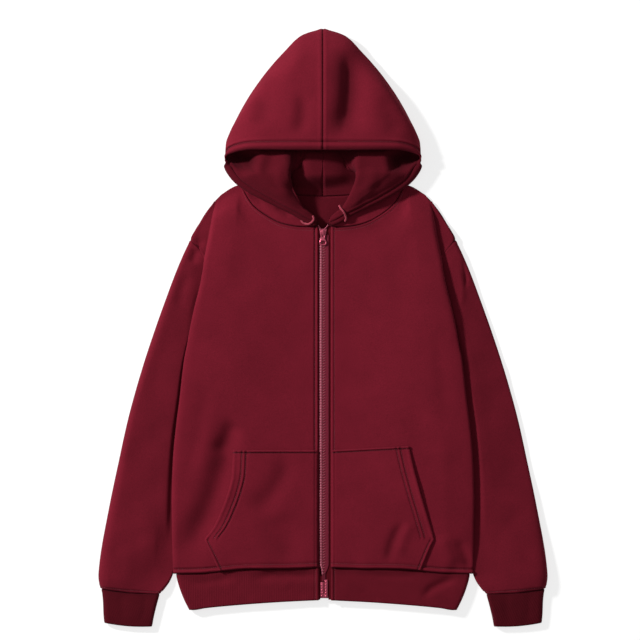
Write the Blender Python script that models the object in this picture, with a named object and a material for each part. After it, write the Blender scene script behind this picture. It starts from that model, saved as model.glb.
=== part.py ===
# A zip up hoodie laid flat on its back, in metres, +Z up, with +Y towards the hood.
# Each cloth piece is a grid of points on its outer face; its wall grows inwards from there.
# Tables are in millimetres. "out" is the distance from the middle line, the same on both sides.

import bmesh
import bpy
import numpy as np
from mathutils import Vector

MM = 0.001
WALL = 2.2             # thickness of the fleece and the rib
SEAM = 0.3             # gap between pieces that are sewn edge to edge

LEFT, RIGHT = -1, 1
ZIP_GAP = {LEFT: 8.7, RIGHT: 12.5}                   # middle of the chain to each front's edge
ZIP_FACE = 11.5        # height of the fronts' outer face beside the zip
HEM_SEAM = -404.0      # seam between the body and the hem band, at the sides
POCKET_LIFT = WALL + 0.6                             # front's outer face to the pocket's
HOOD_MIDDLE = 0.15     # half of the gap in the hood's centre seam
HEM_HEIGHT = 12.0      # hem band's front face, away from the zip


def table(names, *rows):
    """Named columns from a few rows."""
    return {name: np.array([row[k] for row in rows], float) for k, name in enumerate(names.split())}


# Seams and edges on the right half, each by distance from the middle line or by height.
SHOULDER = table("out y", (136, 234), (151, 228.5), (169, 216), (182, 202.5), (192, 189), (200, 176),
                 (208, 163), (218, 143.5))
NECK = table("out y z", (8.7, 166, 11.5), (27, 164.3, 11.5), (63, 169, 11.5), (87, 180, 11),
             (110, 196, 9.5), (125, 214, 7.5), (131, 228, 5.6), (136, 234, 4.7))
BACK_NECK = table("out y", (0, 215), (45, 217), (90, 224), (122, 232), (136, 234))
ARMHOLE = table("y out", (-29, 139), (37, 156), (94, 182), (129, 203), (143.5, 218))
HEM_LINE = table("out y", (8.7, -392), (70, -395), (120, -396), (147, -398), (202, -403), (246, -404))
HEM_BOTTOM = table("out y", (8.7, -447.5), (70, -450.5), (146, -456), (208, -462.5), (219, -465))
POCKET_EDGE = table("y out", (-396, 171), (-372, 180), (-346, 194), (-328, 181), (-302, 168),
                    (-270, 156), (-237, 149), (-202, 147))

# The front, a row for each level from the hem to the shoulder: the fold where the cloth turns
# under, how high the cloth lies beside it, and the hidden strip that runs in from the fold,
# over the sleeve (drop), and ends at the side seam or on the armhole (end).
FRONT = table(
    "y fold side drop drop_y drop_z end end_y end_z",
    (-404, 246.0, 14.0, 241, -404, 5.4, 232, -404, 2.6),
    (-353, 247.6, 17.0, 237, -353, 7.0, 220, -353, 2.6),
    (-290, 247.6, 20.0, 220, -290, 7.0, 202, -290, 2.6),
    (-204, 243.5, 21.0, 196, -204, 7.0, 178, -204, 2.6),
    (-122, 233.4, 21.0, 172, -122, 7.0, 154, -122, 2.6),
    (-53, 224.7, 21.0, 153, -53, 7.2, 134, -53, 2.6),
    (-36, 221.4, 21.0, 153, -37, 7.1, 135.5, -36, 6.9),
    (-5, 216.5, 21.0, 162, -6, 7.0, 149, -5, 6.9),
    (25, 211.0, 21.0, 171, 23, 7.0, 159.5, 25, 6.9),
    (70, 201.0, 20.0, 184, 69, 7.4, 174.5, 71, 6.9),
    (90, 197.8, 19.0, 191, 89, 8.8, 183.5, 91, 6.9),
    (110, 194.5, 17.5, 194.5, 110, 11.0, 194.5, 111, 7.0),
    (130, 190.5, 16.0, 198, 129.5, 11.2, 205.5, 128.5, 8.9),
    (152, 186.0, 14.0, 203, 147, 9.4, 217, 144.5, 9.1),
    (189, 179.5, 8.5, 189, 184, 5.6, 197, 180, 4.7),
    (211, 172.0, 4.9, 177, 207, 4.7, 181.5, 203, 4.7),
)

# The sleeve, a row for each station from the armhole to the cuff: both ends of the line
# across it, its height where the body lies on it and its height where it is free.
SLEEVE = table(
    "step in_out in_y outer outer_y low puff",
    (0.00, 139, -29, 218.0, 143.5, 6.4, 6.4),
    (0.05, 144, -48, 229.5, 118.0, 6.4, 9.0),
    (0.12, 152, -75, 241.5, 87.0, 6.4, 13.0),
    (0.22, 163, -113, 257.5, 44.0, 6.4, 16.0),
    (0.35, 177, -161, 277.0, -11.0, 6.4, 18.0),
    (0.50, 193, -217, 298.0, -76.0, 6.4, 18.0),
    (0.68, 212, -285, 318.5, -150.0, 6.4, 18.0),
    (0.85, 230, -349, 341.5, -256.0, 6.4, 19.0),
    (0.93, 239, -379, 354.5, -320.0, 6.4, 19.0),
    (1.00, 246, -404, 365.5, -386.0, 6.4, 19.0),
    (1.03, 251, -416, 367.3, -408.0, 8.5, 19.0),
    (1.06, 260, -429, 366.0, -421.0, 11.0, 17.0),
    (1.075, 267, -434, 363.0, -426.5, 11.5, 14.5),
    (1.085, 272, -437, 359.5, -428.7, 11.0, 11.5),
)
CUFF = table("step in_out in_y outer outer_y height", (0.0, 271, -437.5, 360.5, -429.2, 11.5),
             (0.25, 273, -450, 361.0, -442, 11.5), (0.7, 277.5, -474, 360.5, -468, 11.0),
             (1.0, 280.5, -490.5, 359.0, -484.5, 10.0))
CUFF_DIP = 2.5         # how far the cuff's edge bows down between its corners
SLEEVE_STEPS = (0, 0.05, 0.12, 0.22, 0.33, 0.45, 0.57, 0.69, 0.8, 0.9, 1.0, 1.03, 1.06, 1.075, 1.085)

# The hood's panel: sections from its front edge to the centre seam, a table for each line
# that the sections cross, all by the same levels from the neck seam up to the crown seam.
LEVELS = (0, 0.06, 0.12, 0.25, 0.37, 0.45, 0.5, 0.55, 0.66, 0.8, 0.91, 1.0)
HOOD_LINES = {
    "edge": table("out y z", (14.5, 168.4, 12.8), (28, 174.5, 13.2), (48, 187, 14.4), (98, 211.5, 16),
                  (139, 235, 15), (157, 262, 14.5), (160.5, 276, 24), (150, 284.5, 29), (117, 290.5, 41),
                  (68, 290, 45.5), (32, 289.5, 47), (0, 289.5, 48)),
    "casing": table("out y z", (13.6, 168.6, 12.9), (25.5, 175.5, 14.4), (44.5, 188.8, 17), (93, 216, 19.5),
                    (132, 241.5, 20), (150, 263, 19), (161.8, 277.5, 16.5), (156, 292, 26), (120, 303, 42),
                    (70, 304, 47), (33, 304, 49), (0, 304, 50)),
    "brim": table("out y z", (12.7, 168.8, 13), (23.5, 176.7, 14.9), (42, 190.2, 18.6), (88, 219, 24),
                  (126, 245, 26), (142, 264, 25.5), (161, 279.5, 10), (159.5, 296, 18.5), (130, 322, 37),
                  (84, 345, 45), (42, 352, 49), (0, 355, 50)),
    "crown": table("out y z", (11.8, 169, 13), (21.5, 178, 15.3), (39.5, 191.6, 19.5), (82, 221.5, 28.5),
                   (119, 248, 31), (132, 264, 31), (158, 281.5, 6), (159.3, 299.5, 11.5), (139, 340, 26),
                   (96, 395, 32), (52, 425, 36), (0, 440, 38)),
    "fold": table("out y z", (10.9, 169.2, 13), (19.5, 179.3, 15.4), (37.3, 192.8, 20), (75, 223.6, 31),
                  (110, 250.5, 34), (120, 264, 35), (150, 283, 5), (156, 302, 5), (141.5, 343, 9),
                  (100.5, 409, 11), (60, 456, 12), (0, 487, 13)),
    "crest": table("out y z", (10, 169.4, 12.9), (17.5, 180.6, 15), (35, 194, 20), (67, 225.4, 31),
                   (98, 251, 36), (106, 264, 37), (118, 283, 30), (120, 297, 20), (137, 338, 0.8),
                   (97, 407, 2), (59, 455, 3), (0, 491.1, 5.5)),
    "ridge": table("out y z", (9.3, 169.2, 12.4), (15.5, 181.6, 13.8), (32, 195.3, 18.5), (50, 228, 28),
                   (57, 249, 34), (59, 263, 35), (60, 280, 31), (62, 296, 20), (112, 335, 0),
                   (88, 402, 0), (54, 448, 0), (0, 484, 0.5)),
    "foot": table("out y z", (10.5, 167.2, 11.5), (19, 176.5, 11.9), (35, 190, 13.5), (53, 223, 20),
                  (60, 246, 25.5), (54, 263.5, 23), (52, 279, 17), (52, 294, 10), (92, 333, 0),
                  (72, 398, 0), (44, 441, 0), (0, 476, 0)),
    "under": table("out y z", (73.5, 173.9, 11.3), (71, 180, 11.7), (69, 189, 12.2), (72, 214, 14.4),
                   (70, 239, 18), (50, 264, 13), (46, 278.5, 8), (44, 292, 4), (72, 332, 0),
                   (56, 394, 0), (34, 436, 0), (0, 469, 0)),
    "side": table("out y z", (127.5, 220.5, 6.6), (121.5, 224, 7.2), (115.5, 226, 7.8), (104, 228, 8.8),
                  (84, 237, 10), (46, 264, 6), (41, 278, 3), (37, 291, 1.5), (53, 331, 0),
                  (42, 391, 0), (25, 431, 0), (0, 463, 0)),
    "lip": table("out y z", (133.8, 232.9, 5.4), (127.5, 233.3, 5.6), (122, 233.8, 5.8), (109, 236.3, 6),
                 (88, 242, 6.4), (43.5, 264, 3.8), (38.5, 277.8, 2), (33.5, 290.8, 1), (44, 330.5, 0),
                 (35, 390, 0), (21, 429, 0), (0, 460, 0)),
    "turn": table("out y z", (133.6, 236.6, 2.7), (127.3, 237, 2.8), (121.8, 237.6, 2.9), (109, 240.2, 3),
                  (88, 246, 3), (41, 264, 1.6), (36, 277.5, 0.9), (30, 290.5, 0.4), (35, 330, 0),
                  (28, 389, 0), (17, 427, 0), (0, 457, 0)),
    "floor": table("out y z", (130.5, 235, 0), (124.5, 235.5, 0), (119, 236.2, 0), (106, 238.7, 0),
                   (85, 244.5, 0), (37, 264, 0.3), (31, 277, 0), (25, 290, 0), (27, 330, 0), (21, 388, 0),
                   (12.5, 425.5, 0), (0, 454.5, 0)),
    "nape": table("out y z", (60, 220.5, 0), (58, 225, 0), (55, 230, 0), (50, 240.5, 0),
                  (40, 251, 0), (16, 264, 0), (13, 277, 0), (10, 290, 0), (8.5, 330, 0), (7, 386, 0),
                  (4.2, 422.5, 0), (0, 450, 0)),
    "centre": table("out y z", (0, 215.8, 0), (0, 220.5, 0), (0, 226, 0), (0, 238, 0), (0, 252, 0),
                    (0, 264, 0), (0, 277, 0), (0, 290, 0), (0, 330, 0), (0, 385, 0), (0, 421, 0),
                    (0, 448, 0)),
}
HOOD_COLUMNS = (0, 1, 1.5, 2, 2.5, 3, 3.5, 4, 5, 6, 7, 7.25, 7.5, 7.75, 8, 8.25, 8.5, 8.75, 9, 10, 11, 12,
                12.5, 13, 13.5, 14)                  # numbered by the lines above
HOOD_ROWS = (0, 0.03, 0.06, 0.09, 0.12, 0.18, 0.25, 0.31, 0.37, 0.41, 0.45, 0.475, 0.5, 0.525, 0.55, 0.6,
             0.66, 0.73, 0.8, 0.86, 0.91, 0.96, 1)
NECK_COLUMNS = slice(11, 19)                         # those that meet the front's neck seam
NECK_STEPS = slice(1, 9)                             # the front's columns that they meet
BACK_NECK_COLUMNS = slice(22, 26)                    # those that meet the back's neck seam


def smooth(knots, values, at):
    """A curve through the knots that never swings past a row of its table."""
    knots = np.asarray(knots, float)
    values = np.asarray(values, float)
    at = np.clip(np.asarray(at, float), knots[0], knots[-1])
    widths = np.diff(knots)
    steps = np.diff(values) / widths
    slopes = np.zeros(len(values))
    slopes[0] = steps[0]
    slopes[-1] = steps[-1]
    before, after = steps[:-1], steps[1:]
    same_way = before * after > 0
    slopes[1:-1][same_way] = 2 * before[same_way] * after[same_way] / (before + after)[same_way]
    span = np.clip(np.searchsorted(knots, at, side="right") - 1, 0, len(widths) - 1)
    part = (at - knots[span]) / widths[span]
    rest = 1 - part
    start = rest * rest * (1 + 2 * part) * values[span] + part * rest * rest * widths[span] * slopes[span]
    end = part * part * (3 - 2 * part) * values[span + 1]
    return start + end - part * part * rest * widths[span] * slopes[span + 1]


def read(source, column, key, at):
    """One column of a table, by another of its columns."""
    return smooth(source[key], source[column], at)


def ease(value):
    value = np.clip(value, 0, 1)
    return value * value * (3 - 2 * value)


# Materials

def finish(name, colour, roughness, metallic=0.0):
    material = bpy.data.materials.new(name)
    material.use_nodes = True
    shader = material.node_tree.nodes["Principled BSDF"]
    shader.inputs["Base Color"].default_value = (*colour, 1)
    shader.inputs["Roughness"].default_value = roughness
    shader.inputs["Metallic"].default_value = metallic
    return material


def make_materials():
    return {
        "fleece": finish("fleece", (0.147, 0.010, 0.023), 0.95),
        "rib": finish("rib", (0.107, 0.007, 0.014), 0.92),
        "tape": finish("zip_tape", (0.15, 0.012, 0.03), 0.8),
        "chain": finish("zip_chain", (0.27, 0.04, 0.09), 0.45),
        "metal": finish("zip_metal", (0.33, 0.08, 0.13), 0.35, 0.6),
        "cord": finish("drawcord", (0.17, 0.012, 0.03), 0.85),
    }


# Building

def place(name, mesh, material):
    mesh.materials.append(material)
    thing = bpy.data.objects.new(name, mesh)
    bpy.context.scene.collection.objects.link(thing)
    return thing


def tangents(points, axis, ring):
    """Unit directions along one axis of a grid, halfway between the steps on both sides."""
    if ring:
        steps = np.roll(points, -1, axis) - points
    else:
        steps = np.diff(points, axis=axis)
    steps = steps / (np.linalg.norm(steps, axis=2, keepdims=True) + 1e-9)
    if ring:
        return steps + np.roll(steps, 1, axis)
    first = np.take(steps, [0], axis)
    last = np.take(steps, [-1], axis)
    return np.concatenate((first, steps), axis) + np.concatenate((steps, last), axis)


def cloth(name, points, material, face, ring=False, wall=WALL, middle=False, axes=None):
    """A wall on a grid of points [row][column], grown away from its outer face.

    face is 1 where the outer face looks along columns x rows and -1 where it looks the other
    way; a ring's columns close on themselves; axes are a tube's own directions, a row each;
    middle keeps the last row and the last column square to the garment's middle plane.
    """
    outer = np.array(points, float)
    along = tangents(outer, 0, False) if axes is None else np.array(axes, float)[:, None, :]
    normals = np.cross(tangents(outer, 1, ring), along) * face
    if middle:
        normals[-1, :, 0] = 0
        normals[:, -1, 0] = 0
        normals[-1, -1] = normals[-1, -2]
    normals /= np.linalg.norm(normals, axis=2, keepdims=True)
    inner = outer - normals * wall
    shape = bmesh.new()
    skins = []
    for skin in (outer, inner):
        skins.append([[shape.verts.new(Vector(point) * MM) for point in row] for row in skin])
    rows, across = outer.shape[:2]
    columns = range(across if ring else across - 1)
    for skin in skins:
        for low, high in zip(skin, skin[1:]):
            for k in columns:
                after = (k + 1) % across
                shape.faces.new((low[k], low[after], high[after], high[k]))
    for row in (0, rows - 1):
        for k in columns:
            after = (k + 1) % across
            near, far = skins[0][row], skins[1][row]
            shape.faces.new((near[k], near[after], far[after], far[k]))
    for k in () if ring else (0, across - 1):
        for row in range(rows - 1):
            near, far = skins[0], skins[1]
            shape.faces.new((near[row][k], near[row + 1][k], far[row + 1][k], far[row][k]))
    bmesh.ops.recalc_face_normals(shape, faces=shape.faces)
    mesh = bpy.data.meshes.new(name)
    shape.to_mesh(mesh)
    shape.free()
    mesh.shade_smooth()
    return place(name, mesh, material)


def block(name, low, high, material, bevel=0.0):
    """A box with slightly broken edges, from its lowest to its highest corner."""
    low, high = Vector(low) * MM, Vector(high) * MM
    shape = bmesh.new()
    bmesh.ops.create_cube(shape, size=1)
    bmesh.ops.scale(shape, vec=high - low, verts=shape.verts)
    bmesh.ops.translate(shape, vec=(low + high) / 2, verts=shape.verts)
    mesh = bpy.data.meshes.new(name)
    shape.to_mesh(mesh)
    shape.free()
    thing = place(name, mesh, material)
    if bevel:
        edges = thing.modifiers.new("edges", "BEVEL")
        edges.width = bevel * MM
        edges.segments = 2
    return thing


# Body

FOLD_START = 9.0                                     # fold line to where the top layer begins to turn
TOP_STEPS = (0, 0.09, 0.2, 0.31, 0.42, 0.53, 0.63, 0.71, 0.77, 0.82, 0.91, 1)
FOLD_STEPS = (0.22, 0.42, 0.6, 0.8, 1)
ROW_STEPS = (0, 0.5, 1, 1.5, 2, 2.5, 3, 3.5, 4, 4.5, 5, 6, 7, 8, 8.5, 9, 10, 11, 12, 13, 13.5, 14, 14.5,
             15)                                     # numbered by the rows of the front table
DROP_SHARE, DROP_RISE = 0.6, 0.85                    # the strip's corner over the sleeve's inner edge
SHOULDER_BAND = 0.14                                 # share of the height that runs down to the seam


def top_y(out):
    """Upper edge of a front: the neck seam and then the shoulder seam."""
    neck_end = NECK["out"][-1]
    return np.where(out < neck_end, read(NECK, "y", "out", out), read(SHOULDER, "y", "out", out))


def top_z(out):
    return read(NECK, "z", "out", out)


def front_row(along):
    """The front table at a share of the way from the hem to the shoulder."""
    rows = np.arange(len(FRONT["y"]))
    return {name: smooth(rows, FRONT[name], along * rows[-1]) for name in FRONT}


def front_place(across, along, gap):
    """A point of the front's top layer: across 0 is the zip, 1 is where the fold begins."""
    row = front_row(along)
    fold_x = row["fold"] - FOLD_START
    height = (row["y"] - FRONT["y"][0]) / (FRONT["y"][-1] - FRONT["y"][0])
    hem_x = gap + across * (FRONT["fold"][0] - FOLD_START - gap)
    head_x = gap + across * (FRONT["fold"][-1] - FOLD_START - gap)
    hem_y = read(HEM_LINE, "y", "out", hem_x)
    out = gap + across * (fold_x - gap)
    y = hem_y + height * (top_y(head_x) - hem_y)
    body = ZIP_FACE + (row["side"] - ZIP_FACE) * ease(across)
    share = ease((height - 1 + SHOULDER_BAND) / SHOULDER_BAND)
    return out, y, body + (top_z(head_x) - body) * share


def front_height(out, y, gap):
    """Height of the front's outer face over a point of the floor."""
    across, along = 0.5, 0.5
    for _ in range(40):
        here_x, here_y, _ = front_place(across, along, gap)
        across = min(max(across + (out - here_x) / 230, 0), 1)
        along = min(max(along + (y - here_y) / 900, 0), 1)
    return front_place(across, along, gap)[2]


def fold_point(start, drop, fold, share):
    """A point of the round fold between the top layer and the strip under it."""
    reach = (8 * fold - start[0] - drop[0]) / 6
    corners = (start, (reach, start[1], start[2]), (reach, drop[1], drop[2]), drop)
    rest = 1 - share
    weights = (rest ** 3, 3 * rest * rest * share, 3 * rest * share * share, share ** 3)
    return [sum(weight * corner[k] for weight, corner in zip(weights, corners)) for k in range(3)]


def front_points(side):
    rows = []
    for step in ROW_STEPS:
        along = step / ROW_STEPS[-1]
        row = front_row(along)
        line = [front_place(across, along, ZIP_GAP[side]) for across in TOP_STEPS]
        drop = (row["drop"], row["drop_y"], row["drop_z"])
        end = (row["end"], row["end_y"], row["end_z"])
        line += [fold_point(line[-1], drop, row["fold"], share) for share in FOLD_STEPS]
        shares = (DROP_SHARE, DROP_SHARE, DROP_RISE)
        line += [[b + (a - b) * share for a, b, share in zip(drop, end, shares)], end]
        rows.append([(side * out, y, z) for out, y, z in line])
    return rows


def make_front(side, name, materials):
    return cloth(name, front_points(side), materials["fleece"], face=side)


BACK_STEPS = (0, 0.15, 0.3, 0.42, 0.53, 0.627, 0.75, 0.88, 1)
BACK_LEVELS = (0, 0.12, 0.24, 0.36, 0.48, 0.58, 0.65, 0.685, 0.76, 0.83, 0.89, 0.94, 0.97, 1)
BACK_INSET = 1.8                                     # sleeve's armhole edge to the back's, along X
HEM_SIDE = 238.0                                     # half of the back's width at the hem seam


def back_edge(y):
    """Half of the back's width: the side seam up to the underarm, then the armhole."""
    underarm = ARMHOLE["y"][0]
    if y >= underarm:
        return read(ARMHOLE, "out", "y", y) - BACK_INSET
    share = (y - HEM_SEAM) / (underarm - HEM_SEAM)
    return HEM_SIDE + share * (ARMHOLE["out"][0] - BACK_INSET - HEM_SIDE)


def make_back(materials):
    shoulder_y = SHOULDER["y"][-1]
    rows = []
    for level in BACK_LEVELS:
        edge_y = HEM_SEAM + level * (shoulder_y - HEM_SEAM)
        line = []
        for share in BACK_STEPS:
            head = share * back_edge(shoulder_y)
            neck = read(BACK_NECK, "y", "out", head)
            head_y = neck if head < BACK_NECK["out"][-1] else read(SHOULDER, "y", "out", head)
            line.append((share * back_edge(edge_y), HEM_SEAM + level * (head_y - HEM_SEAM), 0))
        mirrored = [(-out, y, z) for out, y, z in line[:0:-1]]
        rows.append(mirrored + line)
    return cloth("back", rows, materials["fleece"], face=-1)


# Sleeves and cuffs

BOTTOM_POINTS, SIDE_ANGLES, INNER_ANGLES = 7, (-60, -30, 0, 30, 60), (135, 180, 225)
TIP = WALL + 0.2                                     # tightest curve of a tube's outer edge
COVER_MARGIN = 5.0                                   # the body's fold to where the sleeve starts to rise


def tube_section(width, low, puff, covered):
    """A flattened ring: distance from the inner edge, and height."""
    inner = low / 2
    covered = min(max(covered, inner * 1.6), width * 0.82)
    shelf = max(0.36 * puff, inner if puff < 2 * low else 0)
    outer = min(0.36 * (width - covered), shelf * shelf / TIP, 17)
    line = [(along, 0.0) for along in np.linspace(inner, width - outer, BOTTOM_POINTS)]
    for angle in np.radians(SIDE_ANGLES):
        reach = shelf if angle < 0 else puff - shelf
        line.append((width - outer + outer * np.cos(angle), shelf + reach * np.sin(angle)))
    start = width - outer
    for along in np.linspace(start, covered, 5):
        line.append((along, low + (puff - low) * ease((along - covered) / (start - covered))))
    for along in (covered * 0.62 + inner * 0.38, covered * 0.28 + inner * 0.72, inner):
        line.append((along, low))
    for angle in np.radians(INNER_ANGLES):
        line.append((inner + inner * np.cos(angle), inner + inner * np.sin(angle)))
    return line


def fold_cover(inner, outer):
    """Share of a line across the sleeve that the body's fold lies on."""
    low, high = 0.0, 1.0
    for _ in range(24):
        middle = (low + high) / 2
        x, y = (a + (b - a) * middle for a, b in zip(inner, outer))
        if y < HEM_SEAM or x > smooth(FRONT["y"], FRONT["fold"], y):
            high = middle
        else:
            low = middle
    return low


def make_sleeve(side, name, materials):
    low_end, high_end = ARMHOLE["y"][0], ARMHOLE["y"][-1]
    rows, axes = [], []
    for step in SLEEVE_STEPS:
        station = {key: read(SLEEVE, key, "step", step) for key in SLEEVE}
        inner = (station["in_out"], station["in_y"])
        outer = (station["outer"], station["outer_y"])
        width = np.hypot(outer[0] - inner[0], outer[1] - inner[1])
        covered = fold_cover(inner, outer) * width + COVER_MARGIN
        bow = max(0, 1 - step / 0.33) ** 1.5
        axes.append((side * (outer[1] - inner[1]), inner[0] - outer[0], 0))
        line = []
        for along, z in tube_section(width, station["low"], station["puff"], covered):
            share = along / width
            arm_y = low_end + share * (high_end - low_end)
            chord = ARMHOLE["out"][0] + share * (ARMHOLE["out"][-1] - ARMHOLE["out"][0])
            bend = (read(ARMHOLE, "out", "y", arm_y) - chord) * bow
            x = inner[0] + share * (outer[0] - inner[0]) + bend
            line.append((side * x, inner[1] + share * (outer[1] - inner[1]), z))
        rows.append(line)
    return cloth(name, rows, materials["fleece"], face=side, ring=True, axes=axes)


def make_cuff(side, name, materials):
    rows, axes = [], []
    for step in (0, 0.12, 0.4, 0.75, 1):
        ring = {key: read(CUFF, key, "step", step) for key in CUFF}
        inner = (ring["in_out"], ring["in_y"])
        outer = (ring["outer"], ring["outer_y"])
        width = np.hypot(outer[0] - inner[0], outer[1] - inner[1])
        axes.append((side * (outer[1] - inner[1]), inner[0] - outer[0], 0))
        line = []
        for along, z in tube_section(width, ring["height"], ring["height"], width * 0.7):
            share = along / width
            dip = CUFF_DIP * (np.sin(np.pi * share) if 0 < share < 1 else 0)
            x = inner[0] + share * (outer[0] - inner[0])
            y = inner[1] + share * (outer[1] - inner[1]) - dip - SEAM
            line.append((side * x, y, z))
        rows.append(line)
    return cloth(name, rows, materials["rib"], face=side, ring=True, axes=axes)


# Hem band

BAND_FRONT = (0, 0.1, 0.25, 0.42, 0.6, 0.77, 0.9, 1)
BAND_BACK = (1, 0.82, 0.62, 0.42, 0.21, 0)
BAND_LEVELS = (0, 0.08, 0.36, 0.7, 1)
BAND_START = {LEFT: 6.8, RIGHT: 12.5}                # middle of the chain to each end of the band
BAND_TOP_SIDE, BAND_BOTTOM_SIDE = 241.0, 219.5       # half widths at the seam and at the bottom edge
BACK_SHORT = 3.0                                     # how much higher the band's hidden edge ends


def band_half(side, level):
    """Half a row of the band, from the zip round the side to the middle of the back."""
    half = BAND_TOP_SIDE + level ** 1.4 * (BAND_BOTTOM_SIDE - BAND_TOP_SIDE)
    radius = HEM_HEIGHT / 2
    start = BAND_START[side]
    line = []

    def front_y(out):
        top = read(HEM_LINE, "y", "out", out) - 2.5 * SEAM
        return top + level * (read(HEM_BOTTOM, "y", "out", out) - top)

    for share in BAND_FRONT:
        out = start + share * (half - radius - start)
        z = ZIP_FACE + (HEM_HEIGHT - ZIP_FACE) * ease(share * 3)
        line.append((side * out, front_y(out), z))
    edge = front_y(half - radius)
    for angle in np.radians((60, 30, 0, -30, -60)):
        out = half - radius + radius * np.cos(angle)
        line.append((side * out, edge, radius + radius * np.sin(angle)))
    for share in BAND_BACK:
        out = share * (half - radius)
        top = HEM_SEAM - 2.5 * SEAM
        bottom = read(HEM_BOTTOM, "y", "out", out) + BACK_SHORT * ease(4 - 4 * share)
        line.append((side * out, edge if share == 1 else top + level * (bottom - top), 0))
    return line


def make_band(materials):
    rows = []
    for level in BAND_LEVELS:
        rows.append(band_half(LEFT, level) + band_half(RIGHT, level)[-2::-1])
    return cloth("hem_band", rows, materials["rib"], face=1)


# Pockets

POCKET_STEPS = (0, 0.16, 0.36, 0.56, 0.76, 0.92, 1)
POCKET_TOP, POCKET_FOOT = -201.0, -397.0
POCKET_LEVELS = (0, 0.12, 0.262, 0.36, 0.49, 0.64, 0.8, 0.93, 1)
POCKET_INSET = 2.0                                   # a front's zip edge to its pocket's


def make_pocket(side, name, materials):
    inner = ZIP_GAP[side] + POCKET_INSET
    rows = []
    for level in POCKET_LEVELS:
        edge_y = POCKET_FOOT + level * (POCKET_TOP - POCKET_FOOT)
        line = []
        for share in POCKET_STEPS:
            out = inner + share * (read(POCKET_EDGE, "out", "y", edge_y) - inner)
            foot = read(HEM_LINE, "y", "out", out) + 1.5
            y = foot + level * (POCKET_TOP - foot)
            line.append((side * out, y, front_height(out, y, ZIP_GAP[side]) + POCKET_LIFT))
        rows.append(line)
    return cloth(name, rows, materials["fleece"], face=side)


# Hood

def hood_section(level):
    """The hood's lines at one level, from the front edge to the centre seam."""
    lines = []
    for line in HOOD_LINES.values():
        lines.append([smooth(LEVELS, line[axis], level) for axis in ("out", "y", "z")])
    return np.array(lines)


def neck_seam(gap):
    """The hood's part of the front neck seam, beside the front's own corners."""
    head_out = gap + np.array(TOP_STEPS[NECK_STEPS]) * (FRONT["fold"][-1] - FOLD_START - gap)
    points = np.stack((head_out, top_y(head_out), top_z(head_out)), axis=1)
    ways = np.gradient(points[:, :2], axis=0)
    ways /= np.linalg.norm(ways, axis=1, keepdims=True)
    points[:, 0] -= ways[:, 1] * 2 * SEAM
    points[:, 1] += ways[:, 0] * 2 * SEAM
    return points


def make_hood(side, name, materials):
    rows = []
    for level in HOOD_ROWS:
        lines = hood_section(level)
        numbers = range(len(lines))
        columns = np.stack([smooth(numbers, lines[:, axis], HOOD_COLUMNS) for axis in range(3)], 1)
        if level == 0:
            columns[NECK_COLUMNS] = neck_seam(ZIP_GAP[side])
            back_out = columns[BACK_NECK_COLUMNS, 0]
            columns[BACK_NECK_COLUMNS, 1] = read(BACK_NECK, "y", "out", back_out) + 3 * SEAM
        rows.append([(side * (out + HOOD_MIDDLE), y, z) for out, y, z in columns])
    return cloth(name, rows, materials["fleece"], face=side, middle=True)


# Zip

TAPE_OUTER = {LEFT: 18.0, RIGHT: 21.0}
TAPE_FACE, TAPE_WALL, TAPE_SLACK = 8.9, 0.7, 0.5     # slack is the tape's gap to what it holds
TAPE_TOP, TAPE_FOOT, TAPE_MEET = 166.0, -446.5, 0.6
CHAIN_HALF, CHAIN_LOW, CHAIN_HIGH = 5.0, 7.7, 10.7
CHAIN_TOP, CHAIN_FOOT = 149.7, -407.0
BOX_SIDES = {LEFT: 4.0, RIGHT: 8.4}
BOX_TOP, BOX_FOOT, BOX_LOW, BOX_HIGH = -417.5, -443.5, 7.1, 11.1
SLIDER_FOOT, SLIDER_TOP, SLIDER_HALF = 150.0, 162.0, 6.9
WEB_HALF = 2.2
PLATE = 1.5


def make_tape(side, name, materials):
    """A tape beside the box and the chain; the two tapes all but meet between these."""
    box = BOX_SIDES[side] + TAPE_SLACK
    chain = CHAIN_HALF + TAPE_SLACK
    steps = ((TAPE_FOOT, box), (BOX_TOP + 0.2, box), (BOX_TOP + 1.2, TAPE_MEET),
             (CHAIN_FOOT - 1.2, TAPE_MEET), (CHAIN_FOOT - 0.2, chain), (-220, chain), (-40, chain),
             (TAPE_TOP, chain))
    outer = TAPE_OUTER[side]
    rows = []
    for y, inner in steps:
        rows.append([(side * out, y, TAPE_FACE) for out in (inner, (inner + outer) / 2, outer)])
    return cloth(name, rows, materials["tape"], face=side, wall=TAPE_WALL)


def extruded(name, corners, way, material):
    """A flat outline of corners, drawn out along one way."""
    shape = bmesh.new()
    profile = shape.faces.new([shape.verts.new(Vector(corner) * MM) for corner in corners])
    grown = bmesh.ops.extrude_face_region(shape, geom=[profile])
    moved = [item for item in grown["geom"] if isinstance(item, bmesh.types.BMVert)]
    bmesh.ops.translate(shape, vec=Vector(way) * MM, verts=moved)
    bmesh.ops.recalc_face_normals(shape, faces=shape.faces)
    mesh = bpy.data.meshes.new(name)
    shape.to_mesh(mesh)
    shape.free()
    return place(name, mesh, material)


def make_slider(materials):
    """Two plates on a web, with the bridge that carries the pull tab."""
    half, web = SLIDER_HALF, WEB_HALF
    upper = TAPE_FACE + SEAM
    lower = TAPE_FACE - TAPE_WALL - SEAM
    outline = [(-half, lower - PLATE), (half, lower - PLATE), (half, lower), (web, lower), (web, upper),
               (half, upper), (half, upper + PLATE), (-half, upper + PLATE), (-half, upper), (-web, upper),
               (-web, lower), (-half, lower)]
    slider = extruded("zip_slider", [(x, SLIDER_FOOT, z) for x, z in outline],
                      (0, SLIDER_TOP - SLIDER_FOOT, 0), materials["metal"])
    bridge = make_bridge(upper + PLATE, materials)
    joined = slider.modifiers.new("bridge", "BOOLEAN")
    joined.operation = "UNION"
    joined.object = bridge
    return slider


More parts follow.
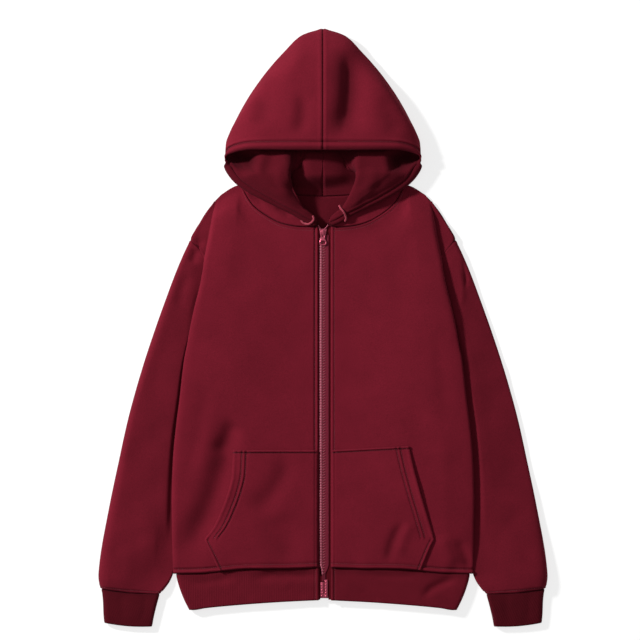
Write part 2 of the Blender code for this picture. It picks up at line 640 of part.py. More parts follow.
# Side view of the bridge: along the zip, and up from the slider's upper face.
BRIDGE_OUTLINE = ((151.6, -0.5), (151.6, 2.6), (153.2, 4.0), (158.8, 4.0), (160.4, 2.6), (160.4, -0.5),
                  (158.9, -0.5), (158.9, 2.3), (158.5, 2.5), (153.5, 2.5), (153.1, 2.3), (153.1, -0.5))
BRIDGE_HALF = 1.4


def make_bridge(base, materials):
    """An arch over the slider's plate, as a guide that is joined to it."""
    bridge = extruded("bridge_guide", [(-BRIDGE_HALF, y, base + z) for y, z in BRIDGE_OUTLINE],
                      (2 * BRIDGE_HALF, 0, 0), materials["metal"])
    bridge.hide_render = True
    bridge.display_type = "WIRE"
    return bridge


# The pull tab from its bar to its end: half of its width and of the hole in it.
TAB = table("y half hole", (158.3, 4.6, 2.0), (156.6, 4.6, 2.0), (150.9, 4.3, 2.0), (147.2, 3.4, 1.5),
            (143.6, 4.9, 1.5), (141.6, 5.8, 1.9), (137.8, 5.8, 1.9), (136.2, 4.9, 1.5), (134.2, 3.2, 1.5))
TAB_HOLES = (1, 4, 5, 6)                             # rows of it that are open in the middle
TAB_AXIS = (0, 157.45, 12.0)
TAB_THICK = 1.6


def make_tab(materials):
    """The pull tab, lying towards the hem, with its origin on the axis of its bar."""
    shape = bmesh.new()
    rows = []
    for y, half, hole in zip(TAB["y"], TAB["half"], TAB["hole"]):
        places = [(x, y - TAB_AXIS[1], -TAB_THICK / 2) for x in (-half, -hole, hole, half)]
        rows.append([shape.verts.new(Vector(point) * MM) for point in places])
    for row, (high, low) in enumerate(zip(rows, rows[1:])):
        for k in (0, 2) if row in TAB_HOLES else (0, 1, 2):
            shape.faces.new((low[k], low[k + 1], high[k + 1], high[k]))
    grown = bmesh.ops.extrude_face_region(shape, geom=shape.faces[:])
    moved = [item for item in grown["geom"] if isinstance(item, bmesh.types.BMVert)]
    bmesh.ops.translate(shape, vec=Vector((0, 0, TAB_THICK)) * MM, verts=moved)
    bmesh.ops.recalc_face_normals(shape, faces=shape.faces)
    mesh = bpy.data.meshes.new("pull_tab")
    shape.to_mesh(mesh)
    shape.free()
    tab = place("pull_tab", mesh, materials["metal"])
    tab.location = Vector(TAB_AXIS) * MM
    return tab


def make_zip(materials):
    make_tape(LEFT, "zip_tape_left", materials)
    make_tape(RIGHT, "zip_tape_right", materials)
    block("zip_chain", (-CHAIN_HALF, CHAIN_FOOT, CHAIN_LOW), (CHAIN_HALF, CHAIN_TOP, CHAIN_HIGH),
          materials["chain"])
    block("zip_box", (-BOX_SIDES[LEFT], BOX_FOOT, BOX_LOW), (BOX_SIDES[RIGHT], BOX_TOP, BOX_HIGH),
          materials["metal"], bevel=1.0)
    make_slider(materials)
    make_tab(materials)


# Drawcord

CORD_RADIUS = 2.0
CORD_LEFT = table("x y z", (-36.4, 176.0, 14.3), (-31.3, 171.0, 14.3), (-24.8, 169.4, 16.6),
                  (-18.6, 172.4, 18.9), (-15.2, 177.8, 19.3), (-16.6, 183.4, 19.3))
CORD_RIGHT = table("x y z", (26.6, 199.5, 17.5), (28.6, 195.6, 22.8), (33.2, 190.2, 24.6),
                   (36.2, 184.6, 22.4), (37.8, 179, 19.4), (36, 173.6, 15.2))


def make_cord(name, points, materials):
    curve = bpy.data.curves.new(name, "CURVE")
    curve.dimensions = "3D"
    curve.bevel_depth = CORD_RADIUS * MM
    curve.bevel_resolution = 2
    curve.use_fill_caps = True
    line = curve.splines.new("POLY")
    line.points.add(len(points["x"]) - 1)
    for knot, place_at in zip(line.points, zip(points["x"], points["y"], points["z"])):
        knot.co = (*Vector(place_at) * MM, 1)
    return place(name, curve, materials["cord"])


def build():
    for thing in list(bpy.data.objects):
        bpy.data.objects.remove(thing, do_unlink=True)
    materials = make_materials()
    make_back(materials)
    make_front(LEFT, "front_left", materials)
    make_front(RIGHT, "front_right", materials)
    make_sleeve(LEFT, "sleeve_left", materials)
    make_sleeve(RIGHT, "sleeve_right", materials)
    make_cuff(LEFT, "cuff_left", materials)
    make_cuff(RIGHT, "cuff_right", materials)
    make_band(materials)
    make_pocket(LEFT, "pocket_left", materials)
    make_pocket(RIGHT, "pocket_right", materials)
    make_hood(LEFT, "hood_left", materials)
    make_hood(RIGHT, "hood_right", materials)
    make_zip(materials)
    make_cord("drawcord_left", CORD_LEFT, materials)
    make_cord("drawcord_right", CORD_RIGHT, materials)


build()
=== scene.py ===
import math

import bmesh
import bpy
import numpy as np
from mathutils import Matrix, Vector, noise


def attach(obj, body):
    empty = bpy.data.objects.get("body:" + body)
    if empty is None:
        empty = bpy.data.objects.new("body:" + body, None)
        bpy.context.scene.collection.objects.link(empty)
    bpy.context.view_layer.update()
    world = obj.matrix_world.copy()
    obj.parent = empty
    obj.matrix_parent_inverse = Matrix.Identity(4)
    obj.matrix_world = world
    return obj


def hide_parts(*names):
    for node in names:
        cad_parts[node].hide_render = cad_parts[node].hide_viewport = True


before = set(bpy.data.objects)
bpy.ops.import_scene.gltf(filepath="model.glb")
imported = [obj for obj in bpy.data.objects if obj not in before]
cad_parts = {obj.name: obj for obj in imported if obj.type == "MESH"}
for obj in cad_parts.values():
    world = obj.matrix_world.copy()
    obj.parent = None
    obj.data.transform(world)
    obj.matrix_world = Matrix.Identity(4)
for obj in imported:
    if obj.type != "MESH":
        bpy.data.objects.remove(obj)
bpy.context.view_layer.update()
print("frame loaded")

mm = 0.001
wall = 2.2        # thickness of the fleece and the rib, in mm as all the tables below
seamGap = 0.3
left, right = -1, 1


def table(names, *rows):
    return {name: np.array([row[k] for row in rows], float) for k, name in enumerate(names.split())}


# A curve through the knots that never swings past them, along the first axis of the values.
def smooth(knots, values, at):
    knots = np.asarray(knots, float)
    values = np.asarray(values, float)
    at = np.clip(np.asarray(at, float), knots[0], knots[-1])
    tail = (1,) * (values.ndim - 1)
    widths = np.diff(knots)
    steps = np.diff(values, axis=0) / widths.reshape(-1, *tail)
    slopes = np.zeros_like(values)
    slopes[0] = steps[0]
    slopes[-1] = steps[-1]
    before, after = steps[:-1], steps[1:]
    both = before + after
    slopes[1:-1] = np.where(before * after > 0, 2 * before * after / np.where(both == 0, 1, both), 0)
    span = np.clip(np.searchsorted(knots, at, side="right") - 1, 0, len(widths) - 1)
    shape = at.shape + tail
    part = ((at - knots[span]) / widths[span]).reshape(shape)
    width = widths[span].reshape(shape)
    rest = 1 - part
    start = rest * rest * (1 + 2 * part) * values[span] + part * rest * rest * width * slopes[span]
    end = part * part * (3 - 2 * part) * values[span + 1]
    return start + end - part * part * rest * width * slopes[span + 1]


def read(source, column, key, at):
    return smooth(source[key], source[column], at)


# The row of a table at any place along one of its columns.
def rowAt(source, key, at):
    return {name: read(source, name, key, at) for name in source}


def ease(value):
    value = np.clip(value, 0, 1)
    return value * value * (3 - 2 * value)


def blend(low, high, share):
    return low + (high - low) * share


def unit(vectors):
    return vectors / (np.linalg.norm(vectors, axis=-1, keepdims=True) + 1e-9)


# Running distance along a line or over a net of points, from its first point, row or column.
def runs(points, axis=0):
    steps = np.linalg.norm(np.diff(points, axis=axis), axis=-1)
    start = np.zeros_like(np.take(steps, [0], axis))
    return np.concatenate((start, np.cumsum(steps, axis)), axis)


# Finishes

def put(tree, socket, value):
    if isinstance(value, bpy.types.NodeSocket):
        tree.links.new(value, socket)
    else:
        socket.default_value = value


# A node with its first inputs in order, the others by name, and its settings.
def node(tree, kind, *parts, **values):
    made = tree.nodes.new(kind)
    for socket, part in zip(made.inputs, parts):
        put(tree, socket, part)
    for name, value in values.items():
        if name in made.inputs:
            put(tree, made.inputs[name], value)
        else:
            setattr(made, name, value)
    return made


def objectPlace(tree):
    return node(tree, "ShaderNodeTexCoord").outputs["Object"]


def scaled(tree, colour, share):
    return node(tree, "ShaderNodeVectorMath", colour, operation="SCALE", Scale=share).outputs["Vector"]


def remapped(tree, value, fromLow, fromHigh, low, high):
    return node(tree, "ShaderNodeMapRange", value, fromLow, fromHigh, low, high).outputs["Result"]


def reckon(tree, operation, *parts):
    return node(tree, "ShaderNodeMath", *parts, operation=operation).outputs["Value"]


def startMaterial(name, roughness, metallic=0.0, sheen=0.0, sheenTint=(1, 1, 1), specular=0.5):
    material = bpy.data.materials.new(name)
    material.use_nodes = True
    tree = material.node_tree
    shader = tree.nodes["Principled BSDF"]
    shader.inputs["Roughness"].default_value = roughness
    shader.inputs["Metallic"].default_value = metallic
    shader.inputs["Specular IOR Level"].default_value = specular
    shader.inputs["Sheen Weight"].default_value = sheen
    shader.inputs["Sheen Roughness"].default_value = 0.55
    shader.inputs["Sheen Tint"].default_value = (*sheenTint, 1)
    return material, tree, shader


middling = (0.3, 0.7)      # most of a noise's values lie between


# A colour in fine specks, lighter and darker by the spread.
def mottled(tree, vector, colour, scale, spread, detail=3.0):
    specks = node(tree, "ShaderNodeTexNoise", Vector=vector, Scale=scale, Detail=detail, Roughness=0.6)
    ramp = node(tree, "ShaderNodeValToRGB", Fac=specks.outputs["Fac"])
    for stop, place, share in zip(ramp.color_ramp.elements, middling, (1 - spread, 1 + spread)):
        stop.position = place
        stop.color = (*[part * share for part in colour], 1)
    return ramp.outputs["Color"]


# Broad light and dark areas over a colour.
def clouded(tree, vector, colour, scale, low, high):
    clouds = node(tree, "ShaderNodeTexNoise", Vector=vector, Scale=scale, Detail=2.0, Roughness=0.5)
    return scaled(tree, colour, remapped(tree, clouds.outputs["Fac"], *middling, low, high))


# Painted shade: the piece's own attribute of painted shade darkens its colour. It holds painted shade
# in the lines of seams, folds and stitching (values named dark) and soft patches of painted shade
# listed in the tables named Shade and in the values wingDark, belowDark and flapDark.
def withPaintedShade(tree, colour, darker=0.62):
    depth = node(tree, "ShaderNodeAttribute", attribute_name="paintedShade").outputs["Fac"]
    return scaled(tree, colour, reckon(tree, "MULTIPLY_ADD", depth, -darker, 1.0))


def bumped(tree, shader, height, strength, distance):
    bump = node(tree, "ShaderNodeBump", Strength=strength, Distance=distance, Height=height)
    put(tree, shader.inputs["Normal"], bump.outputs["Normal"])


clothSheen = {"sheen": 0.05, "sheenTint": (1.0, 0.2, 0.3), "specular": 0.06}
# sleeve and inside are darker copies of face: painted shade on the sleeves and on the inner side, which
# shows inside the hood
fleeceLook = {
    "face": (0.141, 0.0078, 0.0180), "sleeve": (0.126, 0.0070, 0.0160), "inside": (0.081, 0.0041, 0.0098),
    "fibre": 780.0, "fibreSpread": 0.22, "pile": 330.0, "pileHeight": 0.00035, "roughness": 0.95,
}


def makeFleece(name):
    look = fleeceLook
    material, tree, shader = startMaterial("fleece" + name.title(), look["roughness"], **clothSheen)
    place = objectPlace(tree)
    colour = mottled(tree, place, look[name], look["fibre"], look["fibreSpread"], 5.0)
    colour = withPaintedShade(tree, clouded(tree, place, colour, 24.0, 0.94, 1.06))
    put(tree, shader.inputs["Base Color"], colour)
    pile = node(tree, "ShaderNodeTexNoise", Vector=place, Scale=look["pile"], Detail=6.0, Roughness=0.65)
    bumped(tree, shader, pile.outputs["Fac"], 0.8, look["pileHeight"])
    return material


# cuff is darker than hem, partly painted shade on the cuffs
ribLook = {
    "hem": (0.124, 0.0066, 0.0152), "cuff": (0.070, 0.0035, 0.0080),
    "pitch": 0.0029, "ribHeight": 0.00022, "groove": 0.9, "roughness": 0.92,
}


# Ribs run along the second direction of the piece's own map.
def makeRib(name):
    look = ribLook
    material, tree, shader = startMaterial("rib" + name.title(), look["roughness"], **clothSheen)
    coords = node(tree, "ShaderNodeTexCoord")
    parts = node(tree, "ShaderNodeSeparateXYZ", coords.outputs["UV"])
    turns = reckon(tree, "MULTIPLY", parts.outputs["X"], 2 * math.pi / look["pitch"])
    share = remapped(tree, reckon(tree, "SINE", turns), -1.0, 1.0, 0.0, 1.0)
    # the ribs' grooves are painted darker: painted shade between the ribs
    tone = remapped(tree, share, 0.0, 1.0, look["groove"], 1.0)
    colour = mottled(tree, coords.outputs["Object"], look[name], 900.0, 0.18, 4.0)
    colour = clouded(tree, coords.outputs["Object"], colour, 30.0, 0.93, 1.07)
    put(tree, shader.inputs["Base Color"], withPaintedShade(tree, scaled(tree, colour, tone)))
    bumped(tree, shader, share, 1.0, look["ribHeight"])
    return material


# A hard finish: fine specks of its colour and a fine grain.
def makePlain(name, colour, roughness, metallic=0.0, spread=0.1, scale=500.0, height=0.0002, sheen=0.0):
    material, tree, shader = startMaterial(name, roughness, metallic, sheen=sheen,
                                           sheenTint=(1.0, 0.6, 0.7), specular=0.5)
    place = objectPlace(tree)
    put(tree, shader.inputs["Base Color"], mottled(tree, place, colour, scale, spread))
    grain = node(tree, "ShaderNodeTexNoise", Vector=place, Scale=scale * 1.7, Detail=3.0)
    bumped(tree, shader, grain.outputs["Fac"], 0.6, height)
    return material


# Woven tape: fine threads across it.
def makeTape(name, colour):
    material, tree, shader = startMaterial(name, 0.8, **dict(clothSheen, sheen=0.04))
    place = objectPlace(tree)
    threads = node(tree, "ShaderNodeTexWave", Vector=place, Scale=260.0, Distortion=0.4, Detail=1.0)
    threads.bands_direction = "Y"
    put(tree, shader.inputs["Base Color"], withPaintedShade(tree, mottled(tree, place, colour, 700.0, 0.15)))
    bumped(tree, shader, threads.outputs["Fac"], 0.7, 0.0002)
    return material


finishes = {
    "fleece": makeFleece("face"),
    "sleeve": makeFleece("sleeve"),
    "inside": makeFleece("inside"),
    "rib": makeRib("hem"),
    "cuff": makeRib("cuff"),
    # the zip's tapes are a darker copy of the strip's tape: painted shade where they show in the gaps beside
    # the strip and towards the box
    "tape": makeTape("zipTape", (0.085, 0.0032, 0.0080)),
    "strip": makeTape("zipStrip", (0.155, 0.0145, 0.030)),
    # the coil's beads are lighter than its turns: a painted highlight on its row of beads
    "coil": makePlain("zipCoil", (0.310, 0.052, 0.088), 0.5, spread=0.08, height=0.0001),
    "turns": makePlain("zipTurns", (0.190, 0.0140, 0.032), 0.6, spread=0.10, height=0.0001),
    "metal": makePlain("zipMetal", (0.44, 0.070, 0.120), 0.34, metallic=0.7, spread=0.06, height=0.00005),
    "cord": makePlain("drawcord", (0.27, 0.022, 0.045), 0.8, spread=0.25, scale=900.0, height=0.0004,
                      sheen=0.08),
    "thread": makePlain("thread", (0.125, 0.008, 0.020), 0.6, spread=0.1, scale=1500.0, sheen=0.1),
}
print("finishes made")


# Camera, floor and light

view = {"pixel": 1.64, "middleX": 323.0, "middleY": 327.5, "frame": 640, "height": 8.0, "sensor": 36.0}


def addObject(name, mesh):
    thing = bpy.data.objects.new(name, mesh)
    bpy.context.scene.collection.objects.link(thing)
    return thing


def finishMesh(name, shape, material):
    mesh = bpy.data.meshes.new(name)
    shape.to_mesh(mesh)
    shape.free()
    mesh.shade_smooth()
    mesh.materials.append(material)
    return addObject(name, mesh)


# New spheres have their faces in another order each run, so they are put in the order of their corners.
def inOrder(shape):
    shape.verts.index_update()
    count = len(shape.verts)

    def rank(face):
        first, second, third = sorted(vert.index for vert in face.verts)[:3]
        return float((first * count + second) * count + third)

    shape.faces.sort(key=rank)


def addCamera():
    camera = bpy.data.cameras.new("camera")
    width = view["frame"] * view["pixel"] * mm
    camera.sensor_width = view["sensor"]
    camera.lens = view["sensor"] * view["height"] / width
    centre = view["frame"] / 2
    holder = addObject("camera", camera)
    holder.location = ((centre - view["middleX"]) * view["pixel"] * mm,
                       (view["middleY"] - centre) * view["pixel"] * mm, view["height"] + 0.012)
    bpy.context.scene.camera = holder


floorLook = {"colour": 0.35, "glow": 0.74, "size": 6.0}


def addFloor():
    material, tree, shader = startMaterial("floor", 0.9, specular=0.1)
    place = objectPlace(tree)
    tone = floorLook["colour"]
    put(tree, shader.inputs["Base Color"], mottled(tree, place, (tone, tone, tone), 3.0, 0.01))
    shader.inputs["Emission Color"].default_value = (1, 1, 1, 1)
    shader.inputs["Emission Strength"].default_value = floorLook["glow"]
    shape = bmesh.new()
    bmesh.ops.create_grid(shape, x_segments=1, y_segments=1, size=floorLook["size"])
    bmesh.ops.translate(shape, vec=(0, 0, -0.0006), verts=shape.verts)
    finishMesh("floor", shape, material)


lamps = {
    "key": {"place": (-2.7, 1.55, 1.85), "size": 0.4, "power": 178.0, "colour": (1, 0.99, 0.98)},
    "top": {"place": (0.2, 0.6, 4.2), "size": 3.0, "power": 14.0, "colour": (1, 1, 1)},
}
roomGlow = 0.26


def addLight():
    for name, lamp in lamps.items():
        light = bpy.data.lights.new(name, "AREA")
        light.size = lamp["size"]
        light.energy = lamp["power"]
        light.color = lamp["colour"]
        holder = addObject(name, light)
        holder.location = lamp["place"]
        holder.rotation_euler = (-Vector(lamp["place"])).to_track_quat("-Z", "Y").to_euler()
    world = bpy.context.scene.world or bpy.data.worlds.new("room")
    bpy.context.scene.world = world
    world.use_nodes = True
    world.node_tree.nodes["Background"].inputs["Color"].default_value = (1, 1, 1, 1)
    world.node_tree.nodes["Background"].inputs["Strength"].default_value = roomGlow
    bpy.context.scene.view_settings.view_transform = "Standard"      # colours come out as they are mixed


addCamera()
addFloor()
addLight()
print("camera, floor and light set")


# Drawcord: its two free ends, from the hood's casing to the tip

drawcord = {
    "left": table("x y z", (-36.4, 176.0, 14.3), (-31.3, 171.0, 14.3), (-24.8, 169.4, 16.6),
                  (-18.6, 172.4, 18.9), (-15.2, 177.8, 19.3), (-16.6, 183.4, 19.3)),
    "right": table("x y z", (26.6, 199.5, 17.5), (28.6, 195.6, 22.8), (33.2, 190.2, 24.6),
                   (36.2, 184.6, 22.4), (37.8, 179, 19.4), (36, 173.6, 15.2)),
    "radius": 1.8, "points": 26,
}


def makeCord(name, knots):
    points = np.stack([knots[axis] for axis in "xyz"], 1)
    run = runs(points)
    points = smooth(run, points, np.linspace(0, run[-1], drawcord["points"])) * mm
    length = float(runs(points)[-1])
    curve = bpy.data.curves.new(name, "CURVE")
    curve.dimensions = "3D"
    curve.bevel_depth = drawcord["radius"] * mm
    curve.bevel_resolution = 4
    curve.use_fill_caps = True
    line = curve.splines.new("POLY")
    line.points.add(len(points) - 1)
    for knot, place in zip(line.points, points):
        knot.co = (*place, 1)
    line.points[-2].radius = 0.95
    line.points[-1].radius = 0.6      # the tip is drawn in
    line.use_smooth = True
    curve.materials.append(finishes["cord"])
    cord = addObject(name + "Cord", curve)
    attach(cord, "garment")
    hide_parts(name)
    print(name, "length", round(length * 1000, 1), "mm")


makeCord("drawcord_left", drawcord["left"])
makeCord("drawcord_right", drawcord["right"])
print("drawcord made")


# Cloth

def divide(knots, step, finer):
    places, marks = [knots[0]], [0]
    for k, (low, high) in enumerate(zip(knots, knots[1:])):
        count = max(1, math.ceil((high - low) / finer.get(k, step) - 0.01))
        places += [low + (high - low) * (n + 1) / count for n in range(count)]
        marks.append(len(places) - 1)
    return np.array(places), marks


# A fine net through a coarse one, with its outward normals and its distances from its edges.
def weave(coarse, face, ring=False, step=3.0, columns=None, rows=None):
    coarse = np.array(coarse, float)
    if ring:
        coarse = np.concatenate((coarse, coarse[:, :1]), 1)
    acrossKnots = runs(coarse, 1).mean(0)
    downKnots = runs(coarse, 0).mean(1)
    across, columnMarks = divide(acrossKnots, step, columns or {})
    down, rowMarks = divide(downKnots, step, rows or {})
    if ring:
        count = coarse.shape[1] - 1
        total = acrossKnots[-1]
        wide = np.concatenate((coarse[:, count - 2:count], coarse, coarse[:, 1:3]), 1)
        knots = np.concatenate((acrossKnots[count - 2:count] - total, acrossKnots, acrossKnots[1:3] + total))
        net = smooth(knots, np.swapaxes(wide, 0, 1), across)
    else:
        net = smooth(acrossKnots, np.swapaxes(coarse, 0, 1), across)
    net = smooth(downKnots, np.swapaxes(net, 0, 1), down)
    stepAcross = np.gradient(net, axis=1)
    if ring:
        stepAcross[:, 0] = stepAcross[:, -1] = net[:, 1] - net[:, -2]
    normals = unit(np.cross(stepAcross, np.gradient(net, axis=0)) * face)
    acrossRun, downRun = runs(net, 1), runs(net, 0)
    return {"net": net, "normals": normals, "start": acrossRun, "end": acrossRun[:, -1:] - acrossRun,
            "foot": downRun, "head": downRun[-1:] - downRun, "columns": columnMarks, "rows": rowMarks,
            "face": face, "ring": ring}


# Distance along the rows from one of the coarse net's columns.
def fromColumn(woven, column):
    return woven["start"] - woven["start"][:, [woven["columns"][column]]]


def groove(distance, at, width):
    return np.exp(-((distance - at) / width) ** 2)


# Grooves (depth below 0) and swellings beside an edge, each by depth, distance and width.
def grooves(distance, lines):
    return sum(deep * groove(distance, at, width) for deep, at, width in lines)


# A folded and stitched edge: a soft roll from the edge to the groove of its stitching.
def stitchedEdge(distance, stitch, rise=0.9, sink=1.0, width=1.2):
    roll = rise * ease(1 - np.abs(distance - stitch * 0.45) / (stitch * 0.6))
    return roll - 0.9 * ease(1 - distance / 1.6) - sink * groove(distance, stitch, width)


# The main folds: soft troughs (depth above 0) and ridges (below 0). A row has both its ends (x, y, x,
# y), how far it bends aside, its width, the width on its far side if that is another, and its depth.
def foldDepth(x, y, folds):
    depth = np.zeros_like(x)
    for x1, y1, x2, y2, bend, width, *far, deep in folds:
        wayX, wayY = x2 - x1, y2 - y1
        length = math.hypot(wayX, wayY)
        along = ((x - x1) * wayX + (y - y1) * wayY) / length ** 2
        aside = ((x - x1) * -wayY + (y - y1) * wayX) / length - bend * 4 * along * (1 - along)
        ends = ease((along + 0.15) / 0.4) * ease((1.15 - along) / 0.4)
        reach = np.where(aside > 0, far[0] if far else width, width)
        depth += deep * ends * np.exp(-(aside / reach) ** 2)
    return depth


unevenness = {"broad": 85.0, "broadHeight": 0.9, "small": 30.0, "smallHeight": 0.25}


def unevenHeight(x, y):
    high = np.zeros(x.size)
    for k, (placeX, placeY) in enumerate(zip(x.ravel(), y.ravel())):
        place = Vector((placeX, placeY, 0))
        high[k] = (noise.noise(place / unevenness["broad"]) * unevenness["broadHeight"]
                   + noise.noise(place / unevenness["small"]) * unevenness["smallHeight"])
    return high.reshape(x.shape)


# What shapes the cloth's face: unevenness and folds where it looks up, and its own seam lines.
# Where shows is 1 the wall's other side is the one that looks up, so its folds go the other way.
def dress(woven, folds=(), under=(), seams=0.0, shows=0.0, inside=()):
    net, normals = woven["net"], woven["normals"]
    x, y = net[..., 0], net[..., 1]
    up = ease(normals[..., 2] * 1.6)
    down = ease(-normals[..., 2] * 1.6)
    uneven = unevenHeight(x, y)
    height = (uneven - foldDepth(x, y, folds)) * up - foldDepth(x, y, under) * down * (1 - shows)
    height = height + (foldDepth(x, y, inside) - uneven) * down * shows
    woven["net"] = net + normals * (height + seams)[..., None]
    woven["net"][..., 2] = np.maximum(woven["net"][..., 2], 0)      # nothing sinks into what it lies on


# A grid of faces on the net, with its own map in metres, and a wall grown inwards from it.
def makeCloth(name, woven, material, slot, thickness=wall, replaced=True):
    net = woven["net"]
    rows, across = net.shape[:2]
    shape = bmesh.new()
    bmesh.ops.create_grid(shape, x_segments=across - 1, y_segments=rows - 1, size=1)
    flat = net.reshape(-1, 3) * mm
    mapped = np.stack((woven["start"], woven["foot"]), 2).reshape(-1, 2) * mm
    # the piece's painted shade, kept on its points as a float attribute that the finish reads
    paintedShades = woven.get("paintedShade", np.zeros(net.shape[:2])).ravel()
    uv = shape.loops.layers.uv.verify()
    depth = shape.verts.layers.float.new("paintedShade")
    for vert in shape.verts:
        column = round((vert.co.x + 1) / 2 * (across - 1))
        row = round((vert.co.y + 1) / 2 * (rows - 1))
        place = row * across + column
        for loop in vert.link_loops:
            loop[uv].uv = mapped[place]
        vert[depth] = paintedShades[place]
        vert.co = flat[place]
    if woven["ring"]:
        bmesh.ops.remove_doubles(shape, verts=shape.verts, dist=0.00002)
    if woven["face"] < 0:
        bmesh.ops.reverse_faces(shape, faces=shape.faces)
    cloth = finishMesh(name + "Cloth", shape, material)
    thick = cloth.modifiers.new("wall", "SOLIDIFY")
    thick.thickness = thickness * mm
    thick.offset = -1
    if slot == "fleece":
        cloth.data.materials.append(finishes["inside"])
        thick.material_offset = 1
    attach(cloth, "garment")
    if replaced:
        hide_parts(name)
    return cloth


# dark is painted shade on the strip in a seam's gap
closing = {"half": 1.4, "sunk": 1.0, "thick": 0.8, "dark": 0.8}


# A narrow strip of cloth between the walls of a seam, which closes its gap.
def closeSeam(name, points, ups, slot="fleece", half=closing["half"], sunk=closing["sunk"]):
    points, ups = np.array(points, float), np.array(ups, float)
    across = unit(np.cross(unit(np.gradient(points, axis=0)), ups))
    net = (points - ups * sunk)[:, None] + across[:, None] * np.linspace(-half, half, 3)[None, :, None]
    net[..., 2] = np.maximum(net[..., 2], closing["thick"] + 0.1)
    strip = {"net": net, "start": runs(net, 1), "foot": runs(net, 0), "ring": False, "face": 1,
             "paintedShade": np.full(net.shape[:2], closing["dark"])}
    makeCloth(name, strip, finishes[slot], slot, closing["thick"], replaced=False)


stitch = {"length": 2.6, "gap": 1.0, "thick": 0.42, "sunk": 0.05}


# Thread stitches along lines of points, sunk a little into the cloth.
def sew(name, lines):
    shape = bmesh.new()
    pitch = stitch["length"] + stitch["gap"]
    for points, ups in lines:
        if len(points) < 3:
            continue
        run = runs(points)
        for start in np.arange(0.5, run[-1] - pitch, pitch):
            ends = [Vector([np.interp(start + more, run, points[:, k]) for k in range(3)])
                    for more in (0, stitch["length"])]
            up = Vector([np.interp(start, run, ups[:, k]) for k in range(3)]).normalized()
            way = (ends[1] - ends[0]).normalized()
            side = way.cross(up).normalized()
            up = side.cross(way)
            middle = (ends[0] + ends[1]) / 2 - up * stitch["sunk"]
            size = Matrix.Diagonal((stitch["length"] / 2, stitch["thick"], stitch["thick"], 1))
            turn = Matrix((way, side, up)).transposed().to_4x4()
            place = Matrix.Diagonal((mm, mm, mm, 1)) @ Matrix.Translation(middle) @ turn @ size
            bmesh.ops.create_uvsphere(shape, u_segments=6, v_segments=4, radius=1, matrix=place)
    inOrder(shape)
    bmesh.ops.recalc_face_normals(shape, faces=shape.faces)
    stitches = finishMesh(name, shape, finishes["thread"])
    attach(stitches, "garment")


# The line over a woven piece where a distance has a value, with its normals. Keep chooses its part.
def lineAt(woven, distance, value, byRow=True, keep=None):
    points, ups = [], []
    for k in range(distance.shape[0] if byRow else distance.shape[1]):
        cut = (k,) if byRow else (slice(None), k)
        line, normal, reach = woven["net"][cut], woven["normals"][cut], distance[cut]
        order = np.argsort(reach)
        if reach[order[0]] > value or reach[order[-1]] < value:
            continue
        point = [np.interp(value, reach[order], line[order, axis]) for axis in range(3)]
        if keep is None or keep(*point):
            points.append(point)
            ups.append([np.interp(value, reach[order], normal[order, axis]) for axis in range(3)])
    return np.array(points), np.array(ups)


# Seams and edges that pieces share, by distance from the middle line ("out") or by height.
zipEdge = {left: 7.3, right: 13.0, "face": 11.5, "stitch": 5.9}
# dark is how much painted shade lies beside the zip's stitches
welt = {left: {"rise": 1.2, "sink": 1.6, "width": 1.5, "dark": 0.55},
        right: {"rise": 0.7, "sink": 0.4, "width": 1.4, "dark": 0.12}}
seamDark = {left: 0.15, right: 0.7}      # painted shade in the armhole's seam, how dark it is on each side
hemSeam = -404.0
hemStitch = 7.4
neckStitch = 5.0
zipDark = {"aside": 0.3, "width": 1.7}      # painted shade: the dark line beside the zip's stitches
shoulder = table("out y", (136, 234), (151, 228.5), (169, 216), (182, 202.5), (192, 189), (200, 176),
                 (208, 163), (218, 143.5))
neck = table("out y z", (8.7, 166, 11.5), (27, 164.3, 11.5), (63, 169, 11.5), (87, 180, 11),
             (110, 196, 9.5), (125, 214, 7.5), (131, 228, 5.6), (136, 234, 4.7))
backNeck = table("out y", (0, 215), (45, 217), (90, 224), (122, 232), (136, 234))
armhole = table("y out", (-29, 139), (37, 156), (94, 182), (129, 203), (143.5, 218))
hemLine = table("out y", (8.0, -394), (70, -396), (120, -396), (147, -398), (202, -403), (246, -404))
hemBottom = table("out y", (8.0, -447.5), (70, -450.5), (146, -456), (208, -462.5), (219, -465))


# Painted shade in the groove beside the zip's stitches.
def darkAtZip(side, reach):
    return welt[side]["dark"] * groove(reach, zipEdge["stitch"] + zipDark["aside"], zipDark["width"])


# Fronts

